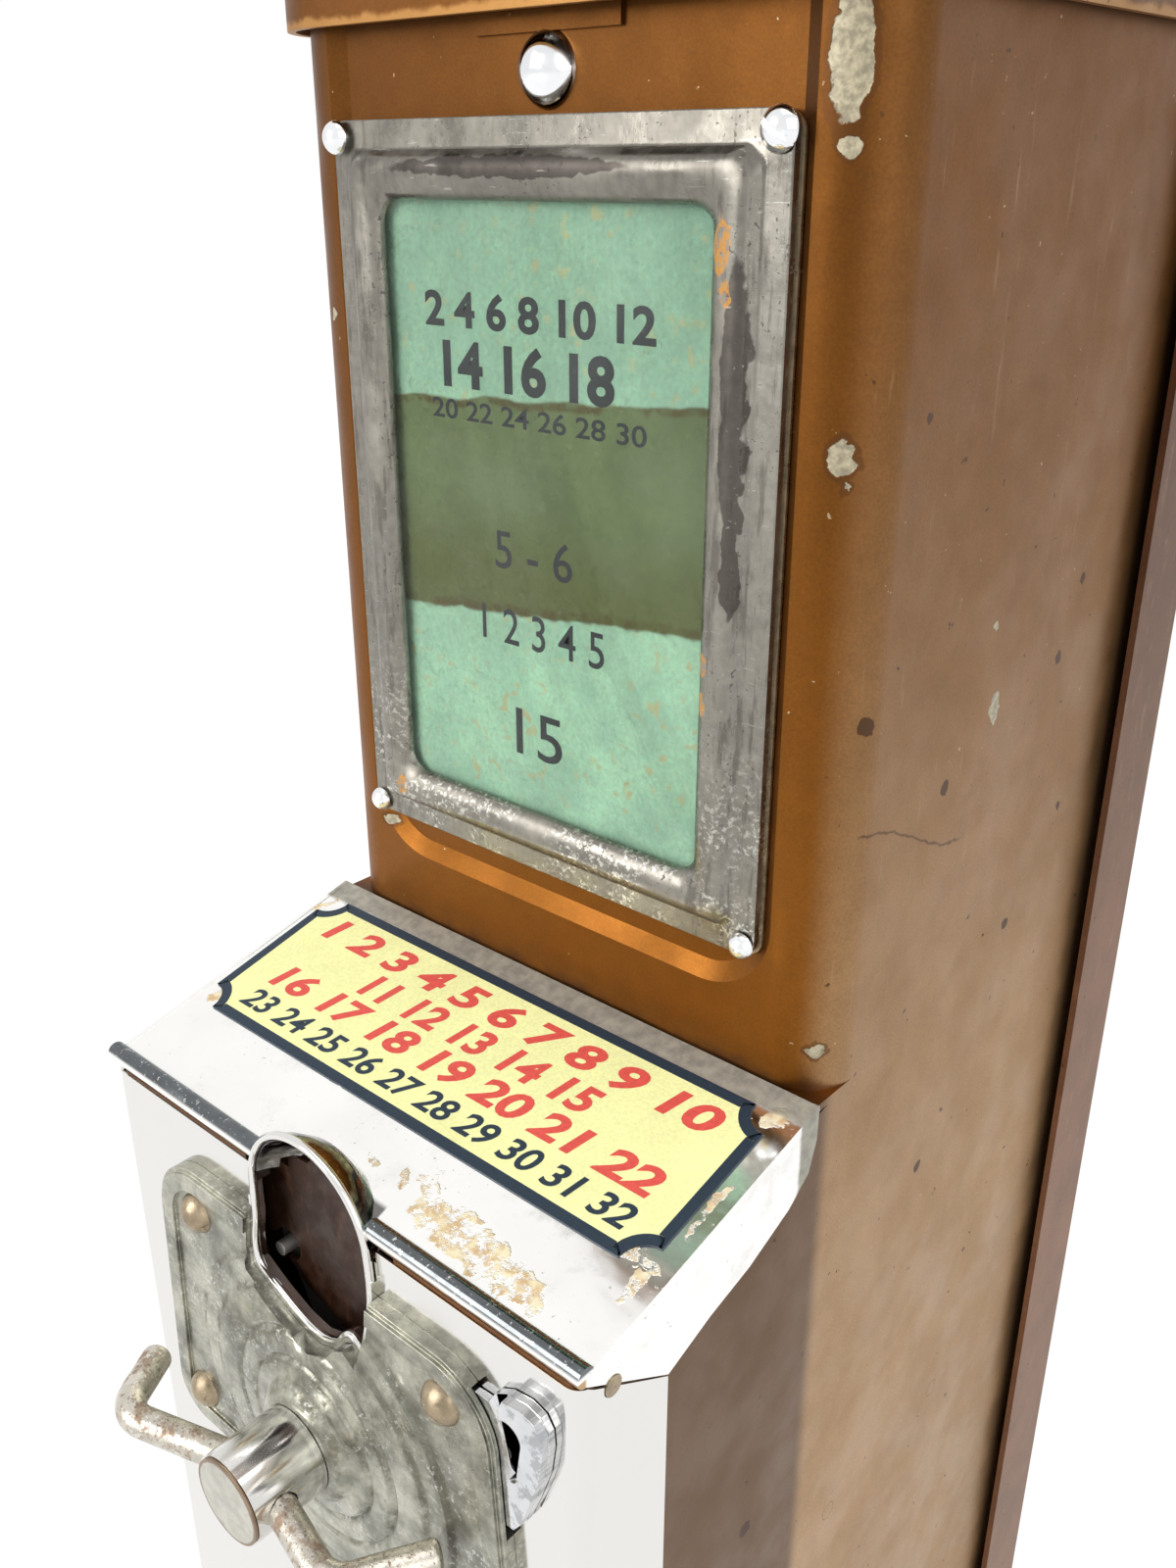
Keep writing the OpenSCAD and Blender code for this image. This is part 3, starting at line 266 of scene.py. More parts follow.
    def metal(self, value):
        self.tree.links.new(value, self.shader.inputs["Metallic"])

    def bump(self, height, deep):
        """Adds relief: height from 0 to 1 stands for deep millimetres."""
        node = self.add("Bump")
        node.inputs["Strength"].default_value = 1.0
        node.inputs["Distance"].default_value = deep * MM
        self.tree.links.new(height, node.inputs["Height"])
        if self.relief is not None:
            self.tree.links.new(self.relief, node.inputs["Normal"])
        self.relief = node.outputs["Normal"]
        self.tree.links.new(self.relief, self.shader.inputs["Normal"])


# ---- wear and a painted reflection in their places: (x, y, z, radius) or (x, y, z, radius, stretch x, y, z) ----

FRONT_CHIPS = [
    (44.2, 0, 340.5, 2.0, 1.3, 1, 0.55), (44.4, 0, 336.0, 2.6, 1.2, 1, 0.45),
    (44.8, 0.6, 331.4, 1.5, 1.2, 1, 0.8), (44.6, 0.4, 327.4, 1.1),
    (46.2, 1.2, 294.3, 1.5, 1, 1, 0.7), (47.8, 2.6, 212.6, 1.2),
    (-37.3, 0, 222.7, 1.1, 0.7, 1, 1), (-43.5, 0, 305.3, 0.8), (46.9, 1.6, 291.2, 0.8),
]
SIDE_CHIPS = [
    (50, 41.4, 253.5, 1.3, 1, 1, 0.55), (50, 38.9, 266.5, 0.8),
]
SIDE_STAINS = [
    (50, 5.8, 260.7, 1.4), (50, 61.8, 256.1, 1.0), (50, 28.4, 245, 1.1), (50, 67, 267.4, 0.8),
    (50, -11.6, 133.9, 1.3), (50, 14, 298, 0.7), (50, 55, 212, 1.0), (50, 33, 176, 0.9),
    (50, 70, 228, 0.8),
]
LID_STAINS = [
    (-41, -4.5, 352, 2.4, 0.5, 1, 1.2), (-20, -4.5, 350, 2.2, 0.3, 1, 1),
    (-8, -4.5, 353, 1.6, 0.4, 1, 1), (18, -4.5, 347, 1.5, 0.3, 1, 1),
]
HOOD_GLUE = [
    (10.2, -40.5, 195.5, 1.1, 1.4, 0.7, 0), (14.2, -39.6, 195.5, 1.9, 0.9, 1.1, 0),
    (22.6, -43.0, 195, 3.6, 0.42, 1.2, 0), (31.8, -43.8, 195, 3.2, 0.5, 1.4, 0),
    (36.6, -45.4, 195, 1.6, 0.5, 1.2, 0), (47.6, -37, 197, 1.5, 1.5, 0.5, 0),
    (45.4, -33, 196, 1.9, 0.5, 1.6, 0), (48.6, -22, 200, 1.2, 1.6, 0.25, 0),
    (3.4, -41.2, 195, 0.9, 1, 1, 0), (-46.6, -30.8, 204, 1.5, 1.2, 0.5, 0),
    (-48.6, -8, 198, 1.2, 1.6, 0.3, 0), (46.6, -5.4, 204, 1.7, 0.8, 1, 0),
]
# a painted dark reflection on the bright front, high on the left
FRONT_DARK_REFLECTION = [
    (-43, -50, 187, 9, 0.9, 0, 1.6), (-47.5, -50, 170, 8, 3, 0, 0.6),
]
FRAME_DARK = [
    (33.4, -3, 300, 1.5, 1, 0.3, 0.1), (33.8, -3, 282, 1.0, 1, 0.3, 0.12),
    (-4, -3, 325.6, 1.2, 0.06, 0.3, 1),
]
FRAME_RUST = [
    (31.2, -3, 317.4, 1.5, 1, 0.3, 0.5), (32.1, -3, 312.2, 1.0, 1, 0.3, 0.6),
    (29.9, -3, 266.8, 1.0, 1, 0.3, 0.7), (30.1, -3, 261.5, 0.9, 1, 0.3, 0.7),
    (-29.8, -3, 233, 1.2, 1, 0.3, 1),
]
PLATE_RINGS = (9.4, 13.2, 17.8, 24.4, 29.2)     # radii of the grooves round the knob


def bronze_paint():
    """Metallic bronze paint with painted light: deep on the front, greyer and paler low on the
    sides.
    """
    f = Finish("bronze_paint", 0.42, 0.8)
    c = colours()
    sideways = f.sideways(0.45)
    # painted light: the front lighter low and darker high, the sides paler low and darker high, and
    # greyer than the front
    front = f.mix(f.ramp(f.z, 200, 350), [v * 1.35 for v in c.front_paint],
                  [v * 0.78 for v in c.front_paint])
    side = f.mix(f.ramp(f.z, 130, 350), tuple(c.side_low_painted_light), tuple(c.side_paint))
    paint = f.mix(sideways, front, side)
    paint = f.shade(paint, 42, 0.05, 3)
    paint = f.shade(paint, 4, 0.05, 5)
    paint = f.shade(paint, 0.4, 0.09, 2)
    # faint rubbed streaks, mostly upright
    streak = f.ramp(f.noise(1.6, 5, 0.6, f.stretched(1, 1, 0.12)), 0.62, 0.75, 0, 0.28)
    paint = f.coat(paint, streak, sideways, 176, 148, 112)
    # small dark specks all over the sides, few on the front
    few = f.ramp(sideways, 0, 1, 0.25, 0.9)
    paint = f.coat(paint, f.spots(2.2, 0.06, 2, soft=0.02), few, 74, 48, 28)
    paint = f.coat(paint, f.spots(1.4, 0.03, 2, soft=0.02), 0.6, 196, 176, 140)
    ragged = f.ragged(1.5, 2.4)
    bare = f.marks(ragged, FRONT_CHIPS + SIDE_CHIPS)
    halo = f.marks(ragged, [(*p[:3], p[3] * 1.4, *p[4:]) for p in FRONT_CHIPS])
    paint = f.coat(paint, halo, 0.6, 84, 50, 20)
    paint = f.mix(f.marks(f.ragged(0.7, 1.6), SIDE_STAINS), paint, srgb(84, 58, 36))
    # darker just above where the front meets the hood
    low = f.ramp(f.plus(f.z, f.times(f.noise(5, 4), 5)), 208.5, 211.5, 0.75, 0)
    edge = f.times(low, f.ramp(f.y, 5, 1))
    paint = f.mix(edge, paint, srgb(70, 44, 24))
    paint = f.mix(bare, paint, f.shade(srgb(166, 156, 130), 1.0, 0.35))
    # a crooked hairline scratch on the side
    height = f.add("SeparateXYZ", f.ragged(0.8, 2.5)).outputs[2]
    away = f.size(f.less(height, f.ramp(f.y, 6, 36, 245, 234.6)))
    hair = f.times(f.ramp(away, 0.28, 0.14), f.times(f.ramp(f.y, 5.5, 7), f.ramp(f.y, 36, 33)))
    paint = f.coat(paint, hair, f.times(sideways, 0.7), 78, 54, 32)
    f.bump(f.less(1, bare), 0.12)
    f.metal(f.ramp(bare, 0, 1, 0.8, 0.2))
    f.colour(paint)
    f.rough(f.ramp(f.noise(14, 4), 0.3, 0.7, 0.34, 0.5))
    f.bump(f.noise(1.1, 3), 0.02)
    f.bump(f.noise(24, 2), 0.35)
    return f.material


def cover_paint():
    """The back cover's redder coat, rubbed thin along its folds."""
    f = Finish("cover_paint", 0.45, 0.75)
    # paler low and darker high: painted light, as on the case's sides
    paint = f.mix(f.ramp(f.z, 130, 350), srgb(132, 96, 72), srgb(92, 60, 40))
    paint = f.shade(paint, 12, 0.12, 4)
    paint = f.shade(paint, 0.5, 0.08, 2)
    rubbed = f.patch(0.56, 0.66, 2.4, 5, 0.7, f.stretched(1, 1, 0.3))
    paint = f.coat(paint, rubbed, 0.35, 150, 122, 96)
    f.colour(f.coat(paint, f.spots(1.6, 0.1, 2), 0.7, 62, 38, 26))
    f.bump(f.noise(1.1, 3), 0.02)
    return f.material


def lid_paint():
    """The lid's older, darker coat, stained along its lower edge, with a painted highlight along
    that edge and painted shade on its sides.
    """
    f = Finish("lid_paint", 0.4, 0.75)
    c = colours()
    sideways = f.sideways(0.35)
    # the sides a darker copy of the front's tone: painted shade
    paint = f.mix(sideways, [v * 0.92 for v in c.front_paint], [v * 0.8 for v in c.side_paint])
    paint = f.shade(paint, 22, 0.1, 4)
    paint = f.shade(paint, 0.6, 0.06, 2)
    stains = f.marks(f.ragged(1.6, 7), LID_STAINS)
    paint = f.coat(paint, stains, 0.8, 66, 24, 14)
    # a pale band along the lower edge: painted highlight
    rim = f.ramp(f.plus(f.z, f.times(f.noise(3, 4), 2.2)), 345.6, 344.6)
    paint = f.coat(paint, rim, 0.55, 196, 146, 84)
    f.colour(f.mix(f.spots(1.8, 0.08, 2), paint, srgb(64, 38, 22)))
    f.rough(f.ramp(f.noise(12, 4), 0.3, 0.7, 0.3, 0.5))
    f.bump(f.noise(1.1, 3), 0.02)
    return f.material


def bright_steel(name="bright_steel", hood=False):
    """Plated sheet, bright with pitted patches, and golden residue on the hood."""
    f = Finish(name, 0.14, 1.0)
    x, y, z = f.x, f.y, f.z
    base = f.shade(colours().bright_steel, 30, 0.04, 3)
    cloud = f.patch(0.5, 0.72, 9, 5, 0.65)
    base = f.coat(base, cloud, 0.22, 196, 193, 186)
    # pitting grows in patches
    patch = f.ramp(f.noise(13, 3), 0.4, 0.7, 0.0, 0.06)
    pits = f.ramp(f.plus(f.noise(0.8, 4, 0.7), patch), 0.69, 0.74)
    base = f.coat(base, pits, 0.75, 112, 102, 92)
    rough = f.either(f.ramp(cloud, 0, 1, 0.1, 0.3), f.times(pits, 0.6))
    metal = f.less(1, f.times(pits, 0.5))
    if hood:
        glue = f.marks(f.ragged(2.6, 3.2), HOOD_GLUE)
        glue = f.times(glue, f.patch(0.42, 0.56, 2.2, 5, 0.7))
        tan = f.mix(f.patch(0.4, 0.62, 2.4, 3), srgb(204, 160, 76), srgb(242, 226, 178))
        base = f.mix(f.times(glue, 0.8), base, tan)
        # a painted dark reflection, speckled, along the rolled front edge, golden under it
        top = f.times(f.ramp(y, -46.9, -47.6), f.ramp(z, 195.1, 195.7))
        clear = f.patch(0.6, 0.66, 0.7, 4, 0.7)
        dark = f.mix(f.noise(3, 3), srgb(34, 34, 36), srgb(96, 106, 112))
        base = f.mix(f.times(top, f.less(0.92, f.times(clear, 0.7))), base, dark)
        under = f.times(f.ramp(z, 194.9, 194.5), f.times(f.ramp(y, -48.6, -49.2), f.ramp(x, 8, 20)))
        golden = f.mix(f.patch(0.4, 0.6, 4, 3), srgb(176, 128, 46), srgb(120, 82, 48))
        base = f.mix(f.times(under, 0.85), base, golden)
        # the arch's rolled lip, with painted shade inside it
        out = f.reach(x, f.less(z, SLOT_Z))
        inside = f.times(f.ramp(out, SLOT_R - 0.1, SLOT_R - 0.5), f.ramp(y, -45, -46))
        base = f.coat(base, inside, 0.85, 70, 62, 56)
        # dull worn band beside the upper front
        back = f.ramp(f.plus(y, f.times(f.noise(3, 4), 1.6)), -4.4, -3.4)
        base = f.mix(f.times(back, 0.9), base, f.shade(srgb(150, 145, 130), 2.2, 0.3, 5))
        dull = f.either(f.times(glue, 0.85), f.times(back, 0.75))
        rough = f.either(rough, f.times(dull, 0.7))
        metal = f.times(metal, f.less(1, dull))
        f.bump(glue, 0.06)
    else:
        # a painted dark reflection high on the left, and thin smudges
        painted_reflection = f.marks(f.ragged(3, 14), FRONT_DARK_REFLECTION)
        base = f.coat(base, painted_reflection, 0.5, 124, 116, 112)
        smudge = f.patch(0.6, 0.68, 2.4, 6, 0.75, f.stretched(1, 1, 0.45))
        base = f.coat(base, smudge, 0.4, 136, 128, 122)
    f.colour(base)
    f.rough(rough)
    f.metal(metal)
    f.bump(f.noise(16, 3), 0.12)
    f.bump(pits, -0.03)
    return f.material


def stamped_plate():
    """Dull satin plating with grime and painted shade in the rings, and white rubbed speckle."""
    f = Finish("stamped_plate", 0.34, 0.85)
    base = f.shade(colours().dull_plate, 7, 0.45, 5)
    base = f.shade(base, 0.8, 0.1, 4)
    out = f.reach(f.x, f.less(f.z, centre("knob").z))
    wobble = f.plus(out, f.times(f.less(f.noise(6, 3), 0.5), 2.2))
    # grime and painted shade in the grooves round the knob
    grime_and_shade = None
    for radius in PLATE_RINGS:
        one = f.ramp(f.size(f.less(wobble, radius)), 1.2, 0.2)
        grime_and_shade = one if grime_and_shade is None else f.either(grime_and_shade, one)
    grime_and_shade = f.times(grime_and_shade, f.patch(0.36, 0.6, 4, 5, 0.7))
    base = f.coat(base, grime_and_shade, 0.7, 84, 80, 62)
    rubbed = f.times(f.patch(0.55, 0.62, 0.9, 6, 0.8), f.patch(0.42, 0.6, 8, 3))
    base = f.coat(base, rubbed, 0.7, 232, 231, 224)
    specks = f.times(f.spots(0.7, 0.2, 4), f.patch(0.4, 0.6, 10, 3, where=f.stretched(1, 1, 1.3)))
    base = f.coat(base, specks, 0.6, 78, 72, 56)
    f.colour(base)
    f.rough(f.either(f.ramp(f.noise(3, 5), 0.35, 0.65, 0.24, 0.44), f.times(grime_and_shade, 0.6)))
    f.metal(f.less(0.9, f.times(grime_and_shade, 0.5)))
    f.bump(f.noise(5, 3, 0.6), 0.12)
    f.bump(specks, -0.03)
    return f.material


def worn_nickel():
    """The card frame's plating, streaked dark, with a little rust and white wear."""
    f = Finish("worn_nickel", 0.3, 0.9)
    base = f.shade(colours().nickel, 16, 0.14, 4)
    base = f.shade(base, 1.4, 0.1, 4)
    # darker towards the top of the frame: painted shade
    base = f.mix(f.ramp(f.z, 316, 330, 0, 0.35), base, srgb(78, 74, 66))
    upright = f.ramp(f.size(f.x), 27, 30)
    flow = f.noise(1.5, 5, 0.65, f.stretched(1, 1, 0.14))
    streaks = f.times(f.ramp(flow, 0.5, 0.64), f.ramp(upright, 0, 1, 0.3, 0.9))
    base = f.coat(base, streaks, 0.6, 84, 78, 72)
    speckle = f.times(f.spots(0.7, 0.3, 4), f.patch(0.42, 0.6, 11, 3))
    base = f.coat(base, speckle, 0.7, 66, 58, 50)
    ragged = f.ragged(1.2, 3)
    dark = f.marks(ragged, FRAME_DARK)
    base = f.coat(base, dark, 0.7, 52, 44, 42)
    rust = f.marks(ragged, FRAME_RUST)
    base = f.coat(base, rust, f.times(f.patch(0.4, 0.55, 0.9, 4), 0.85), 196, 138, 52)
    low = f.ramp(f.z, 262, 234)
    pale = f.times(f.patch(0.52, 0.6, 0.8, 5, 0.7), f.times(low, f.patch(0.4, 0.55, 7, 3)))
    base = f.coat(base, pale, 0.75, 222, 220, 210)
    scratch = f.ramp(f.noise(0.5, 3, 0.6, f.stretched(0.08, 1, 1)), 0.66, 0.72, 0, 0.35)
    f.colour(f.mix(scratch, base, srgb(206, 204, 196)))
    dull = f.times(f.either(speckle, rust), 0.6)
    f.rough(f.either(f.ramp(f.noise(6, 4), 0.35, 0.65, 0.2, 0.42), dull))
    f.metal(f.less(0.95, dull))
    f.bump(f.noise(3, 4), 0.05)
    f.bump(speckle, -0.02)
    return f.material


def chrome(name, spots, tone=(236, 237, 238), streak=0.0):
    """Chrome with fine scratches, painted dark reflections streaked along it and spots where it has
    lifted.
    """
    f = Finish(name, 0.08, 1.0)
    base = f.shade(srgb(*tone), 5, 0.05, 4)
    # dark streaks along the piece: painted reflection
    flow = f.patch(0.5, 0.6, 2.6, 4, 0.6, f.stretched(1, 0.16, 1))
    base = f.coat(base, flow, streak, 70, 72, 80)
    lifted = f.spots(0.8, spots, 4)
    f.colour(f.coat(base, lifted, 0.7, 120, 100, 76))
    f.rough(f.either(f.ramp(f.noise(4, 5), 0.35, 0.7, 0.05, 0.25), f.times(lifted, 0.5)))
    f.bump(f.noise(5, 3), 0.03)
    return f.material


def knob_face():
    """The knob's dull end with a thin brown line round it."""
    f = Finish("knob_face", 0.36, 0.8)
    middle, radius = centre("knob"), (box("knob")[1].x - box("knob")[0].x) / 2
    out = f.reach(f.less(f.x, middle.x), f.less(f.z, middle.z))
    base = f.shade(srgb(192, 189, 178), 2.2, 0.12, 4)
    scratch = f.patch(0.58, 0.66, 1.2, 5, 0.7, f.stretched(0.4, 1, 1.4))
    base = f.coat(base, scratch, 0.5, 134, 124, 106)
    rim = f.ramp(f.plus(out, f.times(f.noise(2, 3), 0.4)), radius - 0.75, radius - 0.45)
    f.colour(f.coat(base, rim, 0.8, 122, 92, 62))
    f.bump(f.noise(1.5, 4), 0.04)
    return f.material


def rusty_rod():
    """Steel bar with brown rust in patches over worn plating."""
    f = Finish("rusty_rod", 0.4, 0.9)
    base = f.shade(srgb(200, 194, 182), 4, 0.14, 5)
    rust = f.patch(0.5, 0.62, 3.4, 6, 0.72)
    brown = f.mix(f.noise(1.2, 4), srgb(96, 62, 36), srgb(150, 112, 72))
    base = f.mix(f.times(rust, 0.72), base, brown)
    base = f.coat(base, f.spots(0.6, 0.3, 3), 0.6, 70, 48, 32)
    f.colour(f.coat(base, f.spots(2.6, 0.3, 3), 0.7, 226, 222, 212))
    f.rough(f.ramp(rust, 0, 1, 0.24, 0.58))
    f.metal(f.ramp(rust, 0, 1, 0.95, 0.5))
    f.bump(f.noise(1.4, 5, 0.7), 0.12)
    return f.material


def brown_steel():
    """Bare steel behind the coin slot, darkened to a rusty brown."""
    f = Finish("brown_steel", 0.46, 0.5)
    base = f.shade(srgb(54, 32, 20), 9, 0.22, 5)
    wear = f.patch(0.54, 0.68, 2.6, 5, 0.7, f.stretched(1, 1, 0.35))
    base = f.coat(base, wear, 0.35, 108, 68, 44)
    f.colour(f.coat(base, f.spots(1.2, 0.16, 5), 0.5, 46, 26, 18))
    f.rough(f.ramp(f.noise(3, 4), 0.3, 0.7, 0.32, 0.6))
    f.bump(f.noise(0.9, 4), 0.05)
    return f.material


def aged_brass(name="aged_brass", tone=1.0):
    """Brass gone brown in spots, rubbed bright in others."""
    f = Finish(name, 0.32, 0.9)
    base = f.shade([v * tone for v in colours().brass], 2.4, 0.2, 4)
    base = f.coat(base, f.spots(1.0, 0.25, 4), 0.55, 82, 64, 44)
    f.colour(f.coat(base, f.spots(1.8, 0.2, 3), 0.5, 206, 192, 158))
    f.rough(f.ramp(f.noise(1.5, 4), 0.35, 0.65, 0.22, 0.46))
    f.bump(f.noise(1.0, 4), 0.04)
    return f.material


def works_steel(name="works_steel", rgb=(158, 154, 144), rough=0.42):
    """Plain mill-finished steel of the inner works, lightly stained."""
    f = Finish(name, rough, 0.85)
    base = f.shade(srgb(*rgb), 14, 0.1, 4)
    base = f.shade(base, 1.0, 0.07, 3, f.stretched(0.25, 1, 1))
    stain = f.patch(0.56, 0.72, 12, 5, 0.65)
    f.colour(f.coat(base, stain, 0.4, 104, 86, 62))
    f.rough(f.ramp(f.noise(5, 4), 0.3, 0.7, rough - 0.1, rough + 0.12))
    f.bump(f.noise(1.2, 4), 0.02)
    return f.material


def cast_iron():
    """Rough grey iron with a little rust."""
    f = Finish("cast_iron", 0.62, 0.4)
    base = f.shade(srgb(74, 72, 70), 6, 0.18, 5)
    f.colour(f.coat(base, f.spots(3, 0.2, 5), 0.5, 112, 74, 48))
    f.rough(f.ramp(f.noise(3, 4), 0.3, 0.7, 0.5, 0.74))
    f.bump(f.noise(1.0, 5, 0.7), 0.2)
    return f.material


def clear_glass():
    """Old window glass, nearly clear, with a little dust."""
    f = Finish("clear_glass", 0, 0)
    f.tree.nodes.remove(f.shader)
    end = f.tree.nodes["Material Output"]
    clear = f.add("BsdfTransparent", (0.96, 0.99, 0.97, 1))
    gloss = f.add("BsdfGlossy", (1, 1, 1, 1), 0.03)
    dust = f.add("BsdfDiffuse", (0.8, 0.84, 0.78, 1))
    shine = f.times(f.add("Fresnel", 1.45).outputs[0], 0.3)
    first = f.add("MixShader", shine, clear.outputs[0], gloss.outputs[0])
    specks = f.plus(f.times(f.spots(1.2, 0.12, 3), 0.08),
                    f.ramp(f.noise(18, 3), 0.4, 0.7, 0.0, 0.03))
    last = f.add("MixShader", specks, first.outputs[0], dust.outputs[0])
    f.tree.links.new(last.outputs[0], end.inputs["Surface"])
    return f.material


def card_paper():
    """Pale green card, faded, with foxing and an olive band of old tape."""
    f = Finish("card_paper", 0.75, 0.0)
    x, z = f.x, f.z
    c = colours()
    # brighter than the card's own colour, more low than high: painted light
    base = f.mix(f.ramp(z, 236, 325), [v * 1.4 for v in c.card_paper],
                 [v * 1.08 for v in c.card_paper])
    base = f.shade(base, 14, 0.12, 4)
    base = f.shade(base, 0.6, 0.1, 3)
    faded = f.patch(0.42, 0.62, 9, 4, 0.6)
    base = f.coat(base, faded, 0.25, 170, 214, 196)
    thick = f.patch(0.36, 0.6, 16, 2)
    foxing = f.times(f.spots(2.4, 0.34, 1, soft=0.1), thick)
    base = f.coat(base, foxing, 0.85, 236, 226, 172)
    near = f.math("MINIMUM", f.less(z, 233.5), f.less(29.5, f.size(x)))
    stain = f.ramp(f.plus(near, f.times(f.noise(4, 4), 4)), 3.6, 1.2)
    base = f.coat(base, stain, 0.5, 108, 142, 112)
    high = f.plus(z, f.times(f.less(f.noise(7, 3), 0.5), 2.4))
    top = f.less(high, f.plus(f.times(x, 0.06), 296.6))
    low = f.less(high, f.plus(f.times(x, 0.1), 266.4))
    band = f.times(f.ramp(top, 0.25, -0.25), f.ramp(low, -0.25, 0.25))
    olive = f.shade(srgb(140, 152, 108), 10, 0.1, 4)
    olive = f.mix(f.ramp(z, 285, 268), olive, srgb(126, 130, 80))
    olive = f.coat(olive, foxing, 0.35, 156, 160, 112)
    base = f.mix(band, base, olive)
    rim = f.either(f.ramp(f.size(f.plus(top, 0.5)), 0.9, 0.25),
                   f.ramp(f.size(f.less(low, 0.6)), 1.2, 0.3))
    rim = f.times(rim, f.patch(0.38, 0.58, 3.5, 4, 0.6))
    f.colour(f.coat(base, rim, 0.75, 112, 88, 46))
    f.bump(f.noise(0.5, 3), 0.02)
    f.bump(f.noise(11, 2), 0.2)
    return f.material


def plain_paper(name, rgb, grain):
    """Uncoated paper with a fine grain."""
    f = Finish(name, 0.7, 0.0)
    base = f.shade(rgb, 9, 0.04, 4)
    f.colour(f.shade(base, 0.5, grain, 2))
    f.bump(f.noise(0.6, 3), 0.02)
    return f.material


def printed(name, rgb):
    """Printing ink, a little broken up."""
    f = Finish(name, 0.55, 0.0)
    base = f.shade(rgb, 0.8, 0.08, 3)
    f.colour(f.coat(base, f.spots(0.5, 0.1, 2), 0.25, 150, 160, 140))
    return f.material


MAKERS = {
    "bronze_paint": bronze_paint, "lid_paint": lid_paint, "cover_paint": cover_paint,
    "hood_steel": lambda: bright_steel("hood_steel", True), "bright_steel": bright_steel,
    "stamped_plate": stamped_plate, "worn_nickel": worn_nickel, "knob_face": knob_face,
    "knob_chrome": lambda: chrome("knob_chrome", 0.1, streak=0.2),
    "nail_chrome": lambda: chrome("nail_chrome", 0.04), "rusty_rod": rusty_rod,
    "lever_chrome": lambda: chrome("lever_chrome", 0.12, (214, 215, 217), 0.4),
    "brown_steel": brown_steel, "aged_brass": aged_brass,
    "sheet_brass": lambda: aged_brass("sheet_brass", 1.3), "works_steel": works_steel,
    "dark_steel": lambda: works_steel("dark_steel", (104, 98, 90), 0.5),
    "lock_steel": lambda: works_steel("lock_steel", (186, 184, 178), 0.3),
    "cast_iron": cast_iron, "clear_glass": clear_glass, "card_paper": card_paper,
    "folder_card": lambda: plain_paper("folder_card", srgb(212, 200, 170), 0.05),
    "label_paper": lambda: plain_paper("label_paper", tuple(colours().label_paper), 0.06),
    "label_edge": lambda: printed("label_edge", tuple(colours().label_edge)),
    "label_red": lambda: printed("label_red", tuple(colours().label_red)),
    "ink": lambda: printed("ink", tuple(colours().ink)),
}


def finish(name):
    """The named material, made the first time it is asked for."""
    return bpy.data.materials.get(name) or MAKERS[name]()


# ---- shared shapes ----

def placed(name, data):
    """A new object in the scene."""
    obj = bpy.data.objects.new(name, data)
    bpy.context.scene.collection.objects.link(obj)
    return obj


def piece(name, bm, *finishes, smooth=30.0, weighted=True):
    """A finished piece from a bmesh in metres, its place in its mesh."""
    bm.normal_update()
    for face in bm.faces:
        face.smooth = True
    for edge in bm.edges:
        edge.smooth = not (edge.is_manifold and edge.calc_face_angle(0.0) > radians(smooth))
    mesh = bpy.data.meshes.new(name)
    bm.to_mesh(mesh)
    bm.free()
    for one in finishes:
        mesh.materials.append(finish(one))
    obj = placed(name, mesh)
    if weighted:
        even = obj.modifiers.new("even shading", "WEIGHTED_NORMAL")
        even.keep_sharp = True
    return obj


def stand_for(node, bm, *finishes, **how):
    """A piece that stands for a frame node and on its body."""
    obj = piece(node + "_piece", bm, *finishes, **how)
    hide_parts(node)
    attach(obj, BODY[node])


def merged(node):
    """The frame node's shape as one clean skin in a bmesh."""
    bm = bmesh.new()
    bm.from_mesh(frame["nodes"][node].data)
    bmesh.ops.remove_doubles(bm, verts=bm.verts[:], dist=2e-6)
    bmesh.ops.dissolve_limit(bm, angle_limit=radians(0.4), use_dissolve_boundaries=False,
                             verts=bm.verts[:], edges=bm.edges[:])
    bm.normal_update()
    return bm


def soften(bm, width, steps=2, chosen=None, angle=28.0):
    """Rounds the edges sharper than angle, or those for which chosen says so."""
    edges = [e for e in bm.edges if e.is_manifold and len(e.link_faces) == 2
             and e.calc_face_angle(0.0) > radians(angle) and (chosen is None or chosen(e))]
    if edges and width > 0:
        bmesh.ops.bevel(bm, geom=edges, offset=width, offset_type="OFFSET", segments=steps,
                        profile=0.5, affect="EDGES", clamp_overlap=True, material=-1,
                        loop_slide=True)
    bm.normal_update()


def dress(node, look, edge=0.0, steps=2):
    """A copy of a frame node, its edges rounded by edge millimetres, that stands for it."""
    bm = merged(node)
    soften(bm, edge * MM, steps)
    stand_for(node, bm, look)


def dress_all(look, **edges):
    """Several nodes in one finish. Each keyword is a node, its value the rounding."""
    for node, edge in edges.items():
        dress(node, look, edge)


def spun(bm, profile, at, axis):
    """Turns a profile of (radius, along) pairs in millimetres about an axis at a point."""
    side = Vector((0, 0, 1)) if abs(axis.z) < 0.9 else Vector((1, 0, 0))
    points = [bm.verts.new((Vector(at) + side * r + axis * a) * MM) for r, a in profile]
    edges = [bm.edges.new(pair) for pair in zip(points, points[1:])]
    bmesh.ops.spin(bm, geom=points + edges, cent=Vector(at) * MM, axis=axis,
                   angle=2 * pi, steps=48, use_merge=True, use_duplicate=False)
    bmesh.ops.remove_doubles(bm, verts=bm.verts[:], dist=1e-6)
    bmesh.ops.recalc_face_normals(bm, faces=bm.faces[:])


FORWARD = Vector((0, -1, 0))


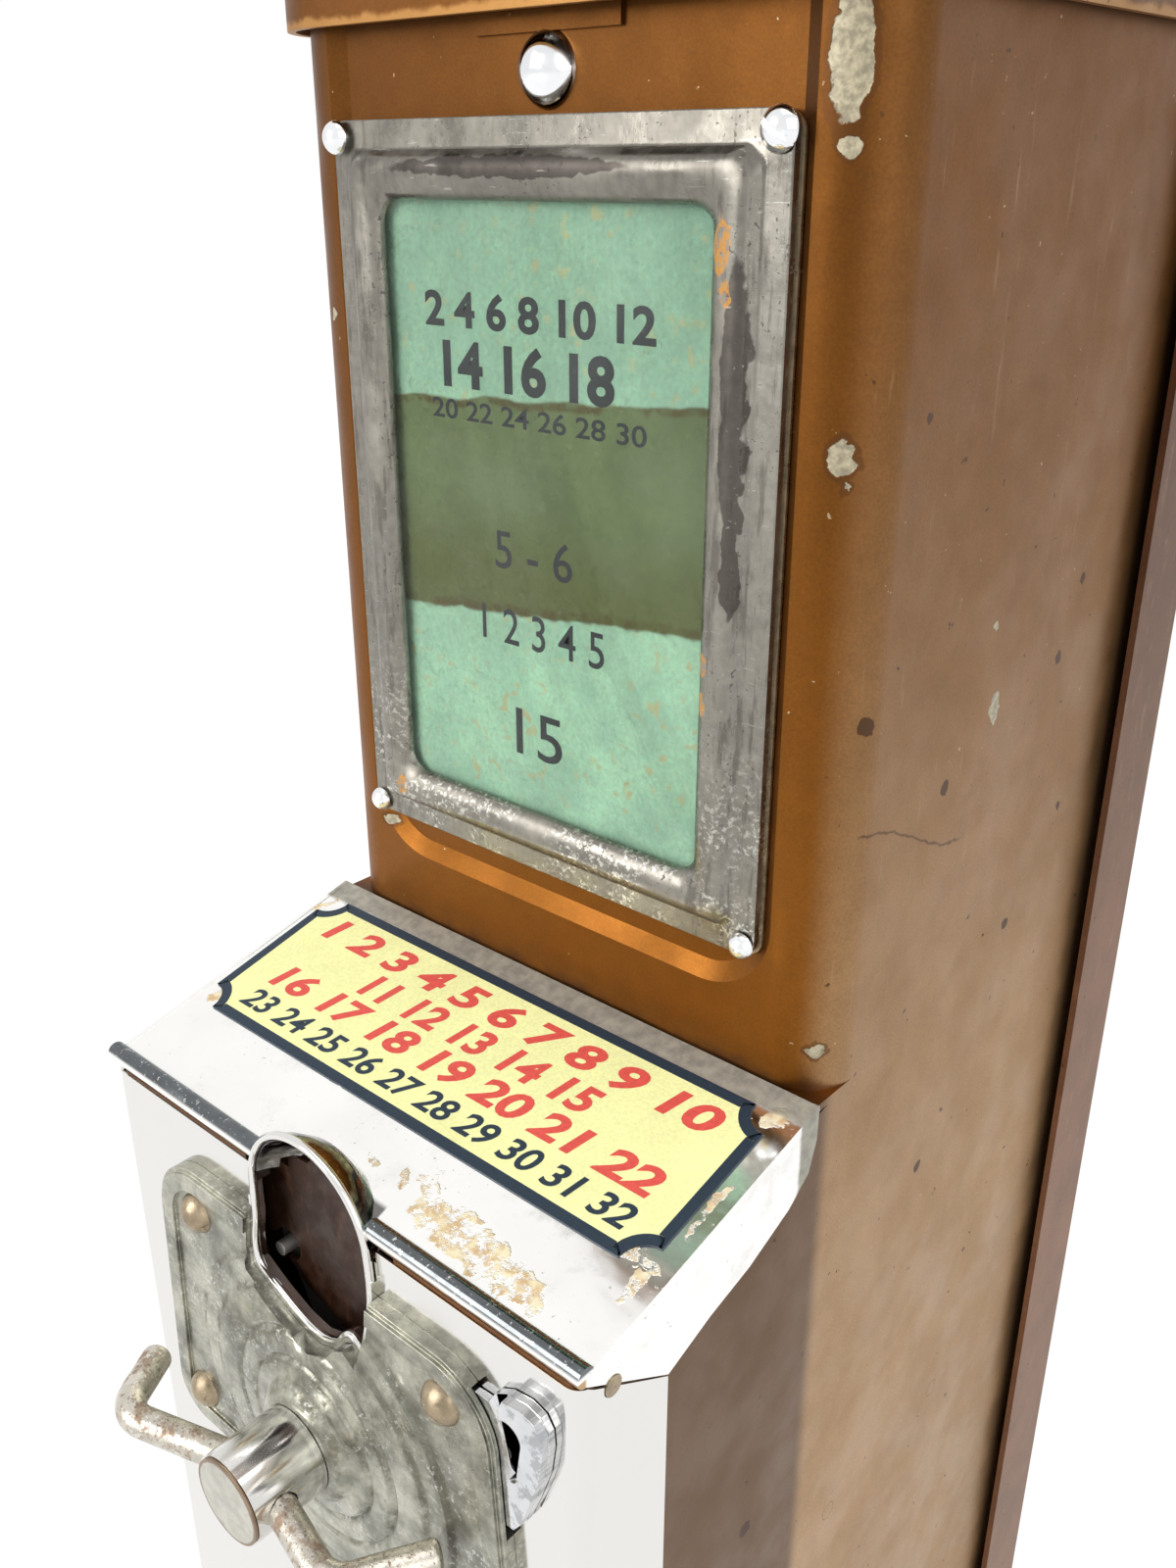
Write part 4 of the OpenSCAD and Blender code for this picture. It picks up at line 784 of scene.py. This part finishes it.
def head(radius, high, shank, deep):
    """Profile of a domed head with its shank, from the dome's top to the shank's end."""
    rows, flat, corner = 10, 0.15, 0.12
    big = (radius * radius + high * high) / (2 * high)
    reach = atan2(radius, big - high)
    dome = [(big * sin(reach * i / rows), big * cos(reach * i / rows) - big + high)
            for i in range(rows + 1)]
    return dome + [(radius - corner, -flat), (shank, -flat), (shank, -deep), (0, -deep)]


def islands(node):
    """Boxes of a frame node's separate solids, in millimetres."""
    bm = merged(node)
    left, boxes = set(bm.verts), []
    while left:
        stack, found = [left.pop()], []
        while stack:
            vert = stack.pop()
            found.append(vert.co / MM)
            for edge in vert.link_edges:
                other = edge.other_vert(vert)
                if other in left:
                    left.discard(other)
                    stack.append(other)
        boxes.append((Vector([min(p[i] for p in found) for i in range(3)]),
                      Vector([max(p[i] for p in found) for i in range(3)])))
    bm.free()
    return sorted(boxes, key=lambda b: (round(b[0].x), round(b[0].z)))


def heads(node, look, radius, high, shank):
    """A domed head with its shank in place of every solid of a node."""
    bm = bmesh.new()
    for low, top in islands(node):
        one = bmesh.new()
        middle = (low + top) / 2
        front = low.y + high
        spun(one, head(radius, high, shank, top.y - front), (middle.x, front, middle.z), FORWARD)
        copy = bpy.data.meshes.new("head")
        one.to_mesh(copy)
        one.free()
        bm.from_mesh(copy)
        bpy.data.meshes.remove(copy)
    stand_for(node, bm, look, smooth=50)


def rounded_loop(bm, x, y, z, w, h, r, steps=8):
    """Closed loop of edges round a rectangle with round corners, in a plane of constant y."""
    before = set(bm.faces)
    made = bmesh.ops.create_grid(bm, x_segments=1, y_segments=1, size=0.5)["verts"]
    bmesh.ops.scale(bm, vec=(w * MM, h * MM, 1), verts=made)
    bmesh.ops.rotate(bm, cent=(0, 0, 0), matrix=Matrix.Rotation(pi / 2, 3, "X"), verts=made)
    bmesh.ops.translate(bm, vec=Vector((x, y, z)) * MM, verts=made)
    bmesh.ops.bevel(bm, geom=made, offset=r * MM, offset_type="OFFSET", segments=steps,
                    profile=0.5, affect="VERTICES", clamp_overlap=False, material=-1)
    face = max((f for f in bm.faces if f not in before), key=lambda f: len(f.verts))
    loop = list(face.edges)
    bmesh.ops.delete(bm, geom=[face], context="FACES_ONLY")
    return loop


def off_the_slot(edge):
    """False for the edges round the coin slot, which the bead covers."""
    return not all(abs(v.co.x / MM) < SLOT_R + 2.2 and v.co.z / MM > SLOT_Z - 24
                   for v in edge.verts)


# the slot's sides and foot under its arch, from the left, as (x, height from the arch's centre)
SLOT_FOOT = [(-12.9, -3.5), (-13.1, -7), (-13.9, -11.5), (-13.5, -15.2), (-11.4, -17),
             (-8.6, -18.2), (-3.6, -20.2), (0.8, -20.8), (4.3, -19.6), (6.3, -17.1), (8, -16.1),
             (10.3, -17.3), (11.3, -14.2), (12.6, -9.6), (13.0, -4.5)]
BEAD_Y, BEAD_R = -50.5, 0.62        # the round bead along the slot's rim, in millimetres


def slot_path():
    """Closed smooth path round the coin slot, in millimetres."""
    steps = 14
    corners = [(SLOT_R * cos(pi * i / steps), SLOT_R * sin(pi * i / steps))
               for i in range(steps + 1)] + SLOT_FOOT
    path, count = [], len(corners)
    for i in range(count):
        a, b, c, d = (Vector(corners[(i + k) % count]) for k in (-1, 0, 1, 2))
        for t in (0, 0.25, 0.5, 0.75):
            p = 0.5 * (2 * b + (c - a) * t + (2 * a - 5 * b + 4 * c - d) * t * t
                       + (3 * b - a - 3 * c + d) * t ** 3)
            path.append(Vector((p.x, BEAD_Y, SLOT_Z + p.y)))
    return path


def bead(bm, path, radius):
    """A round bead along a closed path in a plane of constant y."""
    rings = []
    for i, at in enumerate(path):
        along = (path[(i + 1) % len(path)] - path[i - 1]).normalized()
        turn = Matrix((FORWARD, along.cross(-FORWARD), along)).transposed().to_4x4()
        turn.translation = at * MM
        ring = bmesh.ops.create_circle(bm, segments=12, radius=radius * MM, matrix=turn)["verts"]
        rings.append(list({edge for vert in ring for edge in vert.link_edges}))
    skin = []
    for one, other in zip(rings, rings[1:] + rings[:1]):
        skin += bmesh.ops.bridge_loops(bm, edges=one + other)["faces"]
    bmesh.ops.recalc_face_normals(bm, faces=skin)


PRINT_HIGH = 0.03       # millimetres from the paper to the printed figures


def figures(name, text, look, body, at, right, up, high, wide, weight=0.0, lean=0.0):
    """A line of printed figures: a thin flat mesh centred on a point in millimetres."""
    curve = bpy.data.curves.new(name, "FONT")
    curve.body = text
    curve.align_x, curve.align_y = "CENTER", "CENTER"
    curve.offset = weight
    curve.shear = lean
    curve.resolution_u = 4
    source = placed(name + "_text", curve)
    bpy.context.view_layer.update()
    mesh = bpy.data.meshes.new_from_object(source)
    bpy.data.objects.remove(source)
    bpy.data.curves.remove(curve)
    bm = bmesh.new()
    bm.from_mesh(mesh)
    bpy.data.meshes.remove(mesh)
    bmesh.ops.remove_doubles(bm, verts=bm.verts[:], dist=1e-5)
    xs, ys = [v.co.x for v in bm.verts], [v.co.y for v in bm.verts]
    middle = Vector(((min(xs) + max(xs)) / 2, (min(ys) + max(ys)) / 2, 0))
    across, tall = wide / (max(xs) - min(xs)) * MM, high / (max(ys) - min(ys)) * MM
    outward = right.cross(up)
    turn = Matrix((right * across, up * tall, outward * MM)).transposed().to_4x4()
    turn.translation = Vector(at) * MM
    bmesh.ops.translate(bm, vec=-middle, verts=bm.verts[:])
    bmesh.ops.transform(bm, matrix=turn, verts=bm.verts[:])
    obj = piece(name, bm, look, weighted=False)
    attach(obj, body)
    return obj


# ---- the machine's pieces ----

class Build(bpy.types.Operator):
    """Shared part of the operators that build the machine's pieces"""
    bl_options = {"REGISTER", "UNDO"}

    def execute(self, context):
        self.make(sizes())
        return {"FINISHED"}


class BuildCase(Build):
    """Build the painted case with its dished front"""
    bl_idname = "stamp_machine.case"
    bl_label = "Case"

    def make(self, s):
        bm = merged("case_shell")
        frame_foot = box("window_bezel")[0].z

        def pressed(edge):
            """True for the edges that run along the front's pressed dish."""
            a, b = (v.co / MM for v in edge.verts)
            return abs(a.y - b.y) <= 1 and all(
                -0.1 < p.y < 2.9 and p.z > frame_foot - 12 and abs(p.x) < 42 for p in (a, b))
        soften(bm, s.press_round, 3, pressed, 20)
        # a strip over the part of the lid lock's notch that shows below the lid
        strip = bmesh.ops.create_cube(bm, size=MM)["verts"]
        bmesh.ops.scale(bm, vec=(24.6, 0.9, 4.2), verts=strip)
        at = Vector((0, DISH_Y + 0.6, centre("lid_lock_barrel").z - 10.1))
        bmesh.ops.translate(bm, vec=at * MM, verts=strip)
        stand_for("case_shell", bm, "bronze_paint")
        dress("base_plate", "dark_steel", 0.15)
        dress("base_rivets", "aged_brass")


class BuildBackCover(Build):
    """Build the back cover and its screws"""
    bl_idname = "stamp_machine.back_cover"
    bl_label = "Back cover"

    def make(self, s):
        dress("back_cover", "cover_paint", 0.2)
        dress("back_cover_screws", "works_steel", 0.1)


class BuildLid(Build):
    """Build the lid with its hinge and lock"""
    bl_idname = "stamp_machine.lid"
    bl_label = "Lid"

    def make(self, s):
        dress("top_lid", "lid_paint", 0.45, 3)
        dress_all("works_steel", lid_hinge_leaf=0.12, lid_hinge_rivets=0, lid_hinge_pin=0.15)
        dress_all("lock_steel", lid_lock_barrel=0.2, lid_lock_plug=0.12)
        dress("lid_lock_keeper", "works_steel", 0.1)


class BuildCardFrame(Build):
    """Build the rolled card frame, its glass, card and fixings"""
    bl_idname = "stamp_machine.card_frame"
    bl_label = "Card frame"

    def make(self, s):
        low, high = box("window_bezel")
        x, z = (low.x + high.x) / 2, (low.z + high.z) / 2
        w, h = high.x - low.x, high.z - low.z
        back, face = high.y, low.y
        step = face + s.frame_roll / MM
        # (inset from the outer edge, y, corner radius) round the frame's section
        section = [(0, back, 2.4), (0, step + 0.25, 2.4), (0.25, step + 0.05, 2.2),
                   (3.3, step, 2.4), (3.9, step - 0.35, 2.8), (4.5, face + 0.75, 3.2),
                   (5.3, face + 0.2, 3.4), (6.2, face, 3.6), (7.5, face + 0.08, 3.4),
                   (8.7, face + 0.45, 3.0),
                   (9.6, face + 1.1, 2.8), (10, face + 2.0, 3.4), (10, face + 2.35, 3.4),
                   (8.6, face + 2.4, 3.0), (6.4, face + 2.46, 2.6), (6.3, back - 0.06, 2.4)]
        bm = bmesh.new()
        loops = [rounded_loop(bm, x, y, z, w - 2 * i, h - 2 * i, r) for i, y, r in section]
        for one, other in zip(loops, loops[1:] + loops[:1]):
            bmesh.ops.bridge_loops(bm, edges=one + other)
        bmesh.ops.recalc_face_normals(bm, faces=bm.faces[:])
        stand_for("window_bezel", bm, "worn_nickel", smooth=50)
        dress("window_glass", "clear_glass", 0.1)
        dress("display_card", "card_paper")
        dress("backing_sheet", "sheet_brass")
        heads("front_bolt", "nail_chrome", 4.6, 3.4, 2.35)
        heads("bezel_dome_nail", "nail_chrome", 2.3, 1.7, 1.3)
        heads("bezel_round_screws", "nail_chrome", 2.0, 1.6, 1.3)
        dress("bezel_slotted_screw", "nail_chrome", 0.05)
        dress("front_bolt_nut", "works_steel", 0.25)


class BuildCardFigures(Build):
    """Print the plain figures on the card"""
    bl_idname = "stamp_machine.card_figures"
    bl_label = "Card figures"

    def make(self, s):
        y = box("display_card")[0].y - PRINT_HIGH
        right, up = Vector((1, 0, 0)), Vector((0, 0, 1))
        rows = [("2 4 6 8 10 12", -1.6, 307.5, 4.9, 42, 0.03),
                ("14 16 18", -3.3, 300.2, 6.6, 32, 0.035),
                ("20 22 24 26 28 30", -1.9, 293.9, 2.8, 40, 0.012),
                ("5 - 6", -2.4, 275.0, 5.6, 15, 0.004),
                ("1 2 3 4 5", -1.0, 263.6, 5.4, 24, 0.004),
                ("15", -1.8, 247.6, 7.4, 9.4, 0.004)]
        for i, (text, x, z, high, wide, weight) in enumerate(rows):
            figures(f"card_figures_{i + 1}", text, "ink", BODY["display_card"],
                    (x, y, z), right, up, high, wide, weight)


class BuildHood(Build):
    """Build the bright sloping hood"""
    bl_idname = "stamp_machine.hood"
    bl_label = "Hood"

    def make(self, s):
        bm = merged("hood")

        def long_fold(edge):
            """True for the hood's long folds, clear of its arch."""
            run = (edge.verts[1].co - edge.verts[0].co) / MM
            return run.length > 12 and abs(edge.verts[0].co.x / MM) > 14
        soften(bm, s.fold_round, 3, long_fold)
        soften(bm, 0.1 * MM, 1, None, 40)
        stand_for("hood", bm, "hood_steel")


class BuildLabel(Build):
    """Build the label on the hood with its border and plain figures"""
    bl_idname = "stamp_machine.label"
    bl_label = "Label"

    def make(self, s):
        bm = merged("hood_label")
        top = max(bm.faces, key=lambda f: (f.normal.z > 0.5) * f.calc_area())
        outward = top.normal.copy()
        middle = top.calc_center_bounds() / MM
        bmesh.ops.inset_region(bm, faces=[top], thickness=s.label_border,
                               use_even_offset=True, use_boundary=True)
        for face in bm.faces:
            face.material_index = 0
        top.material_index = 1
        stand_for("hood_label", bm, "label_edge", "label_paper", weighted=False)
        right = Vector((1, 0, 0))
        up = outward.cross(right)
        rows = [("1 2 3 4 5 6 7 8 9 10", 0.2, 9.2, 5.4, 84, "label_red", 0.034),
                ("11 12 13 14 15", 0.0, 2.7, 5.2, 50, "label_red", 0.034),
                ("16 17 18 19 20 21 22", 0.6, -3.7, 5.4, 82, "label_red", 0.034),
                ("23 24 25 26 27 28 29 30 31 32", 0.4, -9.9, 4.3, 83, "label_edge", 0.022)]
        for i, (text, x, rise, high, wide, look, weight) in enumerate(rows):
            at = middle + right * x + up * rise + outward * PRINT_HIGH
            figures(f"label_figures_{i + 1}", text, look, BODY["hood_label"],
                    at, right, up, high, wide, weight, 0.2)


class BuildFront(Build):
    """Build the bright front and the rivets on its flanges"""
    bl_idname = "stamp_machine.front"
    bl_label = "Bright front"

    def make(self, s):
        bm = merged("front_panel")
        soften(bm, 0.16 * MM, 2, off_the_slot, 40)
        bead(bm, slot_path(), BEAD_R)
        stand_for("front_panel", bm, "bright_steel")
        dress("flange_rivets", "aged_brass")


class BuildPlate(Build):
    """Build the stamped plate behind the handle and its rivets"""
    bl_idname = "stamp_machine.plate"
    bl_label = "Stamped plate"

    def make(self, s):
        bm = merged("escutcheon")
        soften(bm, s.plate_round, 3, off_the_slot, 50)
        stand_for("escutcheon", bm, "stamped_plate", smooth=62)
        heads("escutcheon_rivets", "aged_brass", 3.4, 2.3, 1.6)
        dress("coin_release_lever", "lever_chrome", 0.3)
        dress("shaft_bushing", "works_steel", 0.1)


class BuildHandle(Build):
    """Build the knob, its bent rod and the drive shaft with what turns on it"""
    bl_idname = "stamp_machine.handle"
    bl_label = "Handle"

    def make(self, s):
        dress("knob", "knob_chrome", 0.35, 3)
        dress("knob_end_ring", "knob_face", 0.15)
        bm = merged("handle_rod")
        soften(bm, 1.1 * MM, 4, None, 50)
        stand_for("handle_rod", bm, "rusty_rod", smooth=50)
        dress_all("works_steel", drive_shaft=0.2, shaft_end_collar=0.15, coin_arm=0.1,
                  coin_pin=0.1, toothed_sector=0.12)


class BuildCoinWorks(Build):
    """Build the coin plate, its chute and the shaft's bridge"""
    bl_idname = "stamp_machine.coin_works"
    bl_label = "Coin works"

    def make(self, s):
        dress("coin_back_plate", "brown_steel", 0.12)
        dress_all("works_steel", back_plate_posts=0.1, coin_chute=0.12, bearing_bridge=0.12)


FOLDER_THICK = 1.2      # millimetres, one folder of the stack


class BuildStampWorks(Build):
    """Build the magazine with its folders, weight and pusher"""
    bl_idname = "stamp_machine.stamp_works"
    bl_label = "Stamp works"

    def make(self, s):
        dress("pusher_floor", "works_steel", 0.12)
        dress("floor_rivets", "bronze_paint")
        dress_all("works_steel", magazine=0.12, pusher_slide=0.1)
        dress("next_folder", "folder_card", 0.1)
        dress("feed_weight", "cast_iron", 0.6)
        dress("weight_handle", "dark_steel", 0.2)
        dress("delivery_chute", "works_steel", 0.12)
        # the stack shows each folder's edge
        bm = merged("stamp_folders")
        low, high = box("stamp_folders")
        count = max(round((high.z - low.z) / FOLDER_THICK), 1)
        rise = (high.z - low.z) / count
        for k in range(1, count):
            bmesh.ops.bisect_plane(bm, geom=bm.verts[:] + bm.edges[:] + bm.faces[:], dist=1e-7,
                                   plane_co=(0, 0, (low.z + k * rise) * MM), plane_no=(0, 0, 1))
        rows = [e for e in bm.edges if abs(e.verts[0].co.z - e.verts[1].co.z) < 1e-7
                and low.z + 0.3 < e.verts[0].co.z / MM < high.z - 0.3]
        bmesh.ops.bevel(bm, geom=rows, offset=0.18 * MM, offset_type="OFFSET", segments=2,
                        profile=0.5, affect="EDGES", material=-1)
        # the grooves between two folders lie a little farther in
        middle = (low + high) / 2
        for vert in bm.verts:
            z = vert.co.z / MM
            folder = (z - low.z) / rise
            if abs(folder - round(folder)) < 0.02 and low.z + 0.3 < z < high.z - 0.3:
                vert.co.x += (middle.x * MM - vert.co.x) * 0.012
                vert.co.y += (middle.y * MM - vert.co.y) * 0.006
        stand_for("stamp_folders", bm, "folder_card")


class BuildDrawer(Build):
    """Build the cash drawer, its rails and its lock"""
    bl_idname = "stamp_machine.drawer"
    bl_label = "Cash drawer"

    def make(self, s):
        dress("cash_drawer", "works_steel", 0.15)
        dress("drawer_front", "bronze_paint", 0.2)
        dress("drawer_rails", "works_steel", 0.1)
        dress_all("lock_steel", drawer_lock_barrel=0.2, drawer_lock_plug=0.12)
        dress("drawer_pull", "works_steel", 0.4)


# (name, place in metres, size in metres, power in watts) of the lamps, and where they look
LAMPS = (("key", (-0.7, -1.6, 0.95), 1.1, 24), ("fill", (1.5, -0.6, 0.9), 1.3, 7),
         ("top", (0.2, 0.2, 1.9), 1.4, 9))
LIT = Vector((0, 0, 0.22))
# the photo's camera: focal length and height in pixels, place in millimetres, directions
FOCAL, PHOTO_HIGH, SENSOR = 1440.6, 1600.0, 36.0
EYE = Vector((133.63, -141.43, 325.72))
SIGHT, SIGHT_RIGHT = Vector((-0.6089, 0.6842, -0.4015)), Vector((0.7476, 0.6642, -0.0019))


class BuildStage(Build):
    """Set the floor, the lights, the backdrop and the camera"""
    bl_idname = "stamp_machine.stage"
    bl_label = "Stage"

    def make(self, s):
        bm = bmesh.new()
        bmesh.ops.create_grid(bm, x_segments=1, y_segments=1, size=4.0)
        floor = piece("floor", bm, weighted=False)
        floor.data.materials.append(self.floor_white())
        self.backdrop()
        for name, at, size, power in LAMPS:
            light = bpy.data.lights.new(name, "AREA")
            light.energy, light.size = power, size
            lamp = placed(name, light)
            lamp.location = at
            lamp.rotation_euler = (LIT - Vector(at)).to_track_quat("-Z", "Y").to_euler()
        self.camera()
        bpy.context.scene.view_settings.view_transform = "Standard"

    def floor_white(self):
        f = Finish("floor_white", 0.9, 0.0)
        f.colour(f.shade((0.9, 0.9, 0.9), 400, 0.01, 2))
        ray = f.add("LightPath").outputs
        seen = f.either(ray["Is Camera Ray"],
                        f.either(ray["Is Glossy Ray"], ray["Is Transmission Ray"]))
        glow = f.add("Emission", (1, 1, 1, 1), 1.15)
        both = f.add("MixShader", f.times(seen, 0.8), f.shader.outputs[0], glow.outputs[0])
        f.tree.links.new(both.outputs[0], f.tree.nodes["Material Output"].inputs["Surface"])
        return f.material

    def backdrop(self):
        """White to the camera, half as bright as a light."""
        world = bpy.data.worlds.new("studio")
        bpy.context.scene.world = world
        world.use_nodes = True
        tree = world.node_tree
        ray = wire(tree, "LightPath").outputs
        seen = wire(tree, "Math", ray["Is Camera Ray"], ray["Is Transmission Ray"],
                    operation="MAXIMUM").outputs[0]
        level = wire(tree, "Math", seen, 0.5, 0.5, operation="MULTIPLY_ADD").outputs[0]
        total = wire(tree, "Math", ray["Is Glossy Ray"], 0.5, level,
                     operation="MULTIPLY_ADD").outputs[0]
        light = tree.nodes["Background"]
        light.inputs["Color"].default_value = (1, 1, 1, 1)
        tree.links.new(total, light.inputs["Strength"])

    def camera(self):
        """The camera of the photo."""
        lens = bpy.data.cameras.new("camera")
        lens.sensor_fit = "VERTICAL"
        lens.sensor_height = SENSOR
        lens.lens = FOCAL * SENSOR / PHOTO_HIGH
        lens.clip_start, lens.clip_end = 0.01, 20.0
        camera = placed("camera", lens)
        away = -SIGHT.normalized()
        up = away.cross(SIGHT_RIGHT).normalized()
        turn = Matrix((up.cross(away), up, away)).transposed().to_4x4()
        turn.translation = EYE * MM
        camera.matrix_world = turn
        bpy.context.scene.camera = camera


STEPS = [BuildStage, BuildCase, BuildBackCover, BuildLid, BuildCardFrame, BuildCardFigures,
         BuildHood, BuildLabel, BuildFront, BuildPlate, BuildHandle, BuildCoinWorks,
         BuildStampWorks, BuildDrawer]


class StampMachinePanel(bpy.types.Panel):
    """Lists the machine's pieces, sizes and colours"""
    bl_idname = "VIEW3D_PT_stamp_machine"
    bl_label = "Stamp machine"
    bl_space_type = "VIEW_3D"
    bl_region_type = "UI"
    bl_category = "Stamp Machine"

    def draw(self, context):
        layout = self.layout
        for group in (context.scene.machine_sizes, context.scene.machine_colours):
            column = layout.column()
            for name in group.bl_rna.properties.keys():
                if name not in ("rna_type", "name"):
                    column.prop(group, name)
        column = layout.column()
        for step in STEPS:
            column.operator(step.bl_idname)


CLASSES = [MachineSizes, MachineColours, *STEPS, StampMachinePanel]


def register():
    for one in CLASSES:
        bpy.utils.register_class(one)
    bpy.types.Scene.machine_sizes = bpy.props.PointerProperty(type=MachineSizes)
    bpy.types.Scene.machine_colours = bpy.props.PointerProperty(type=MachineColours)


def unregister():
    del bpy.types.Scene.machine_colours
    del bpy.types.Scene.machine_sizes
    for one in reversed(CLASSES):
        bpy.utils.unregister_class(one)


def main():
    register()
    for step in STEPS:
        group, name = step.bl_idname.split(".")
        getattr(getattr(bpy.ops, group), name)()


if __name__ == "__main__":
    main()
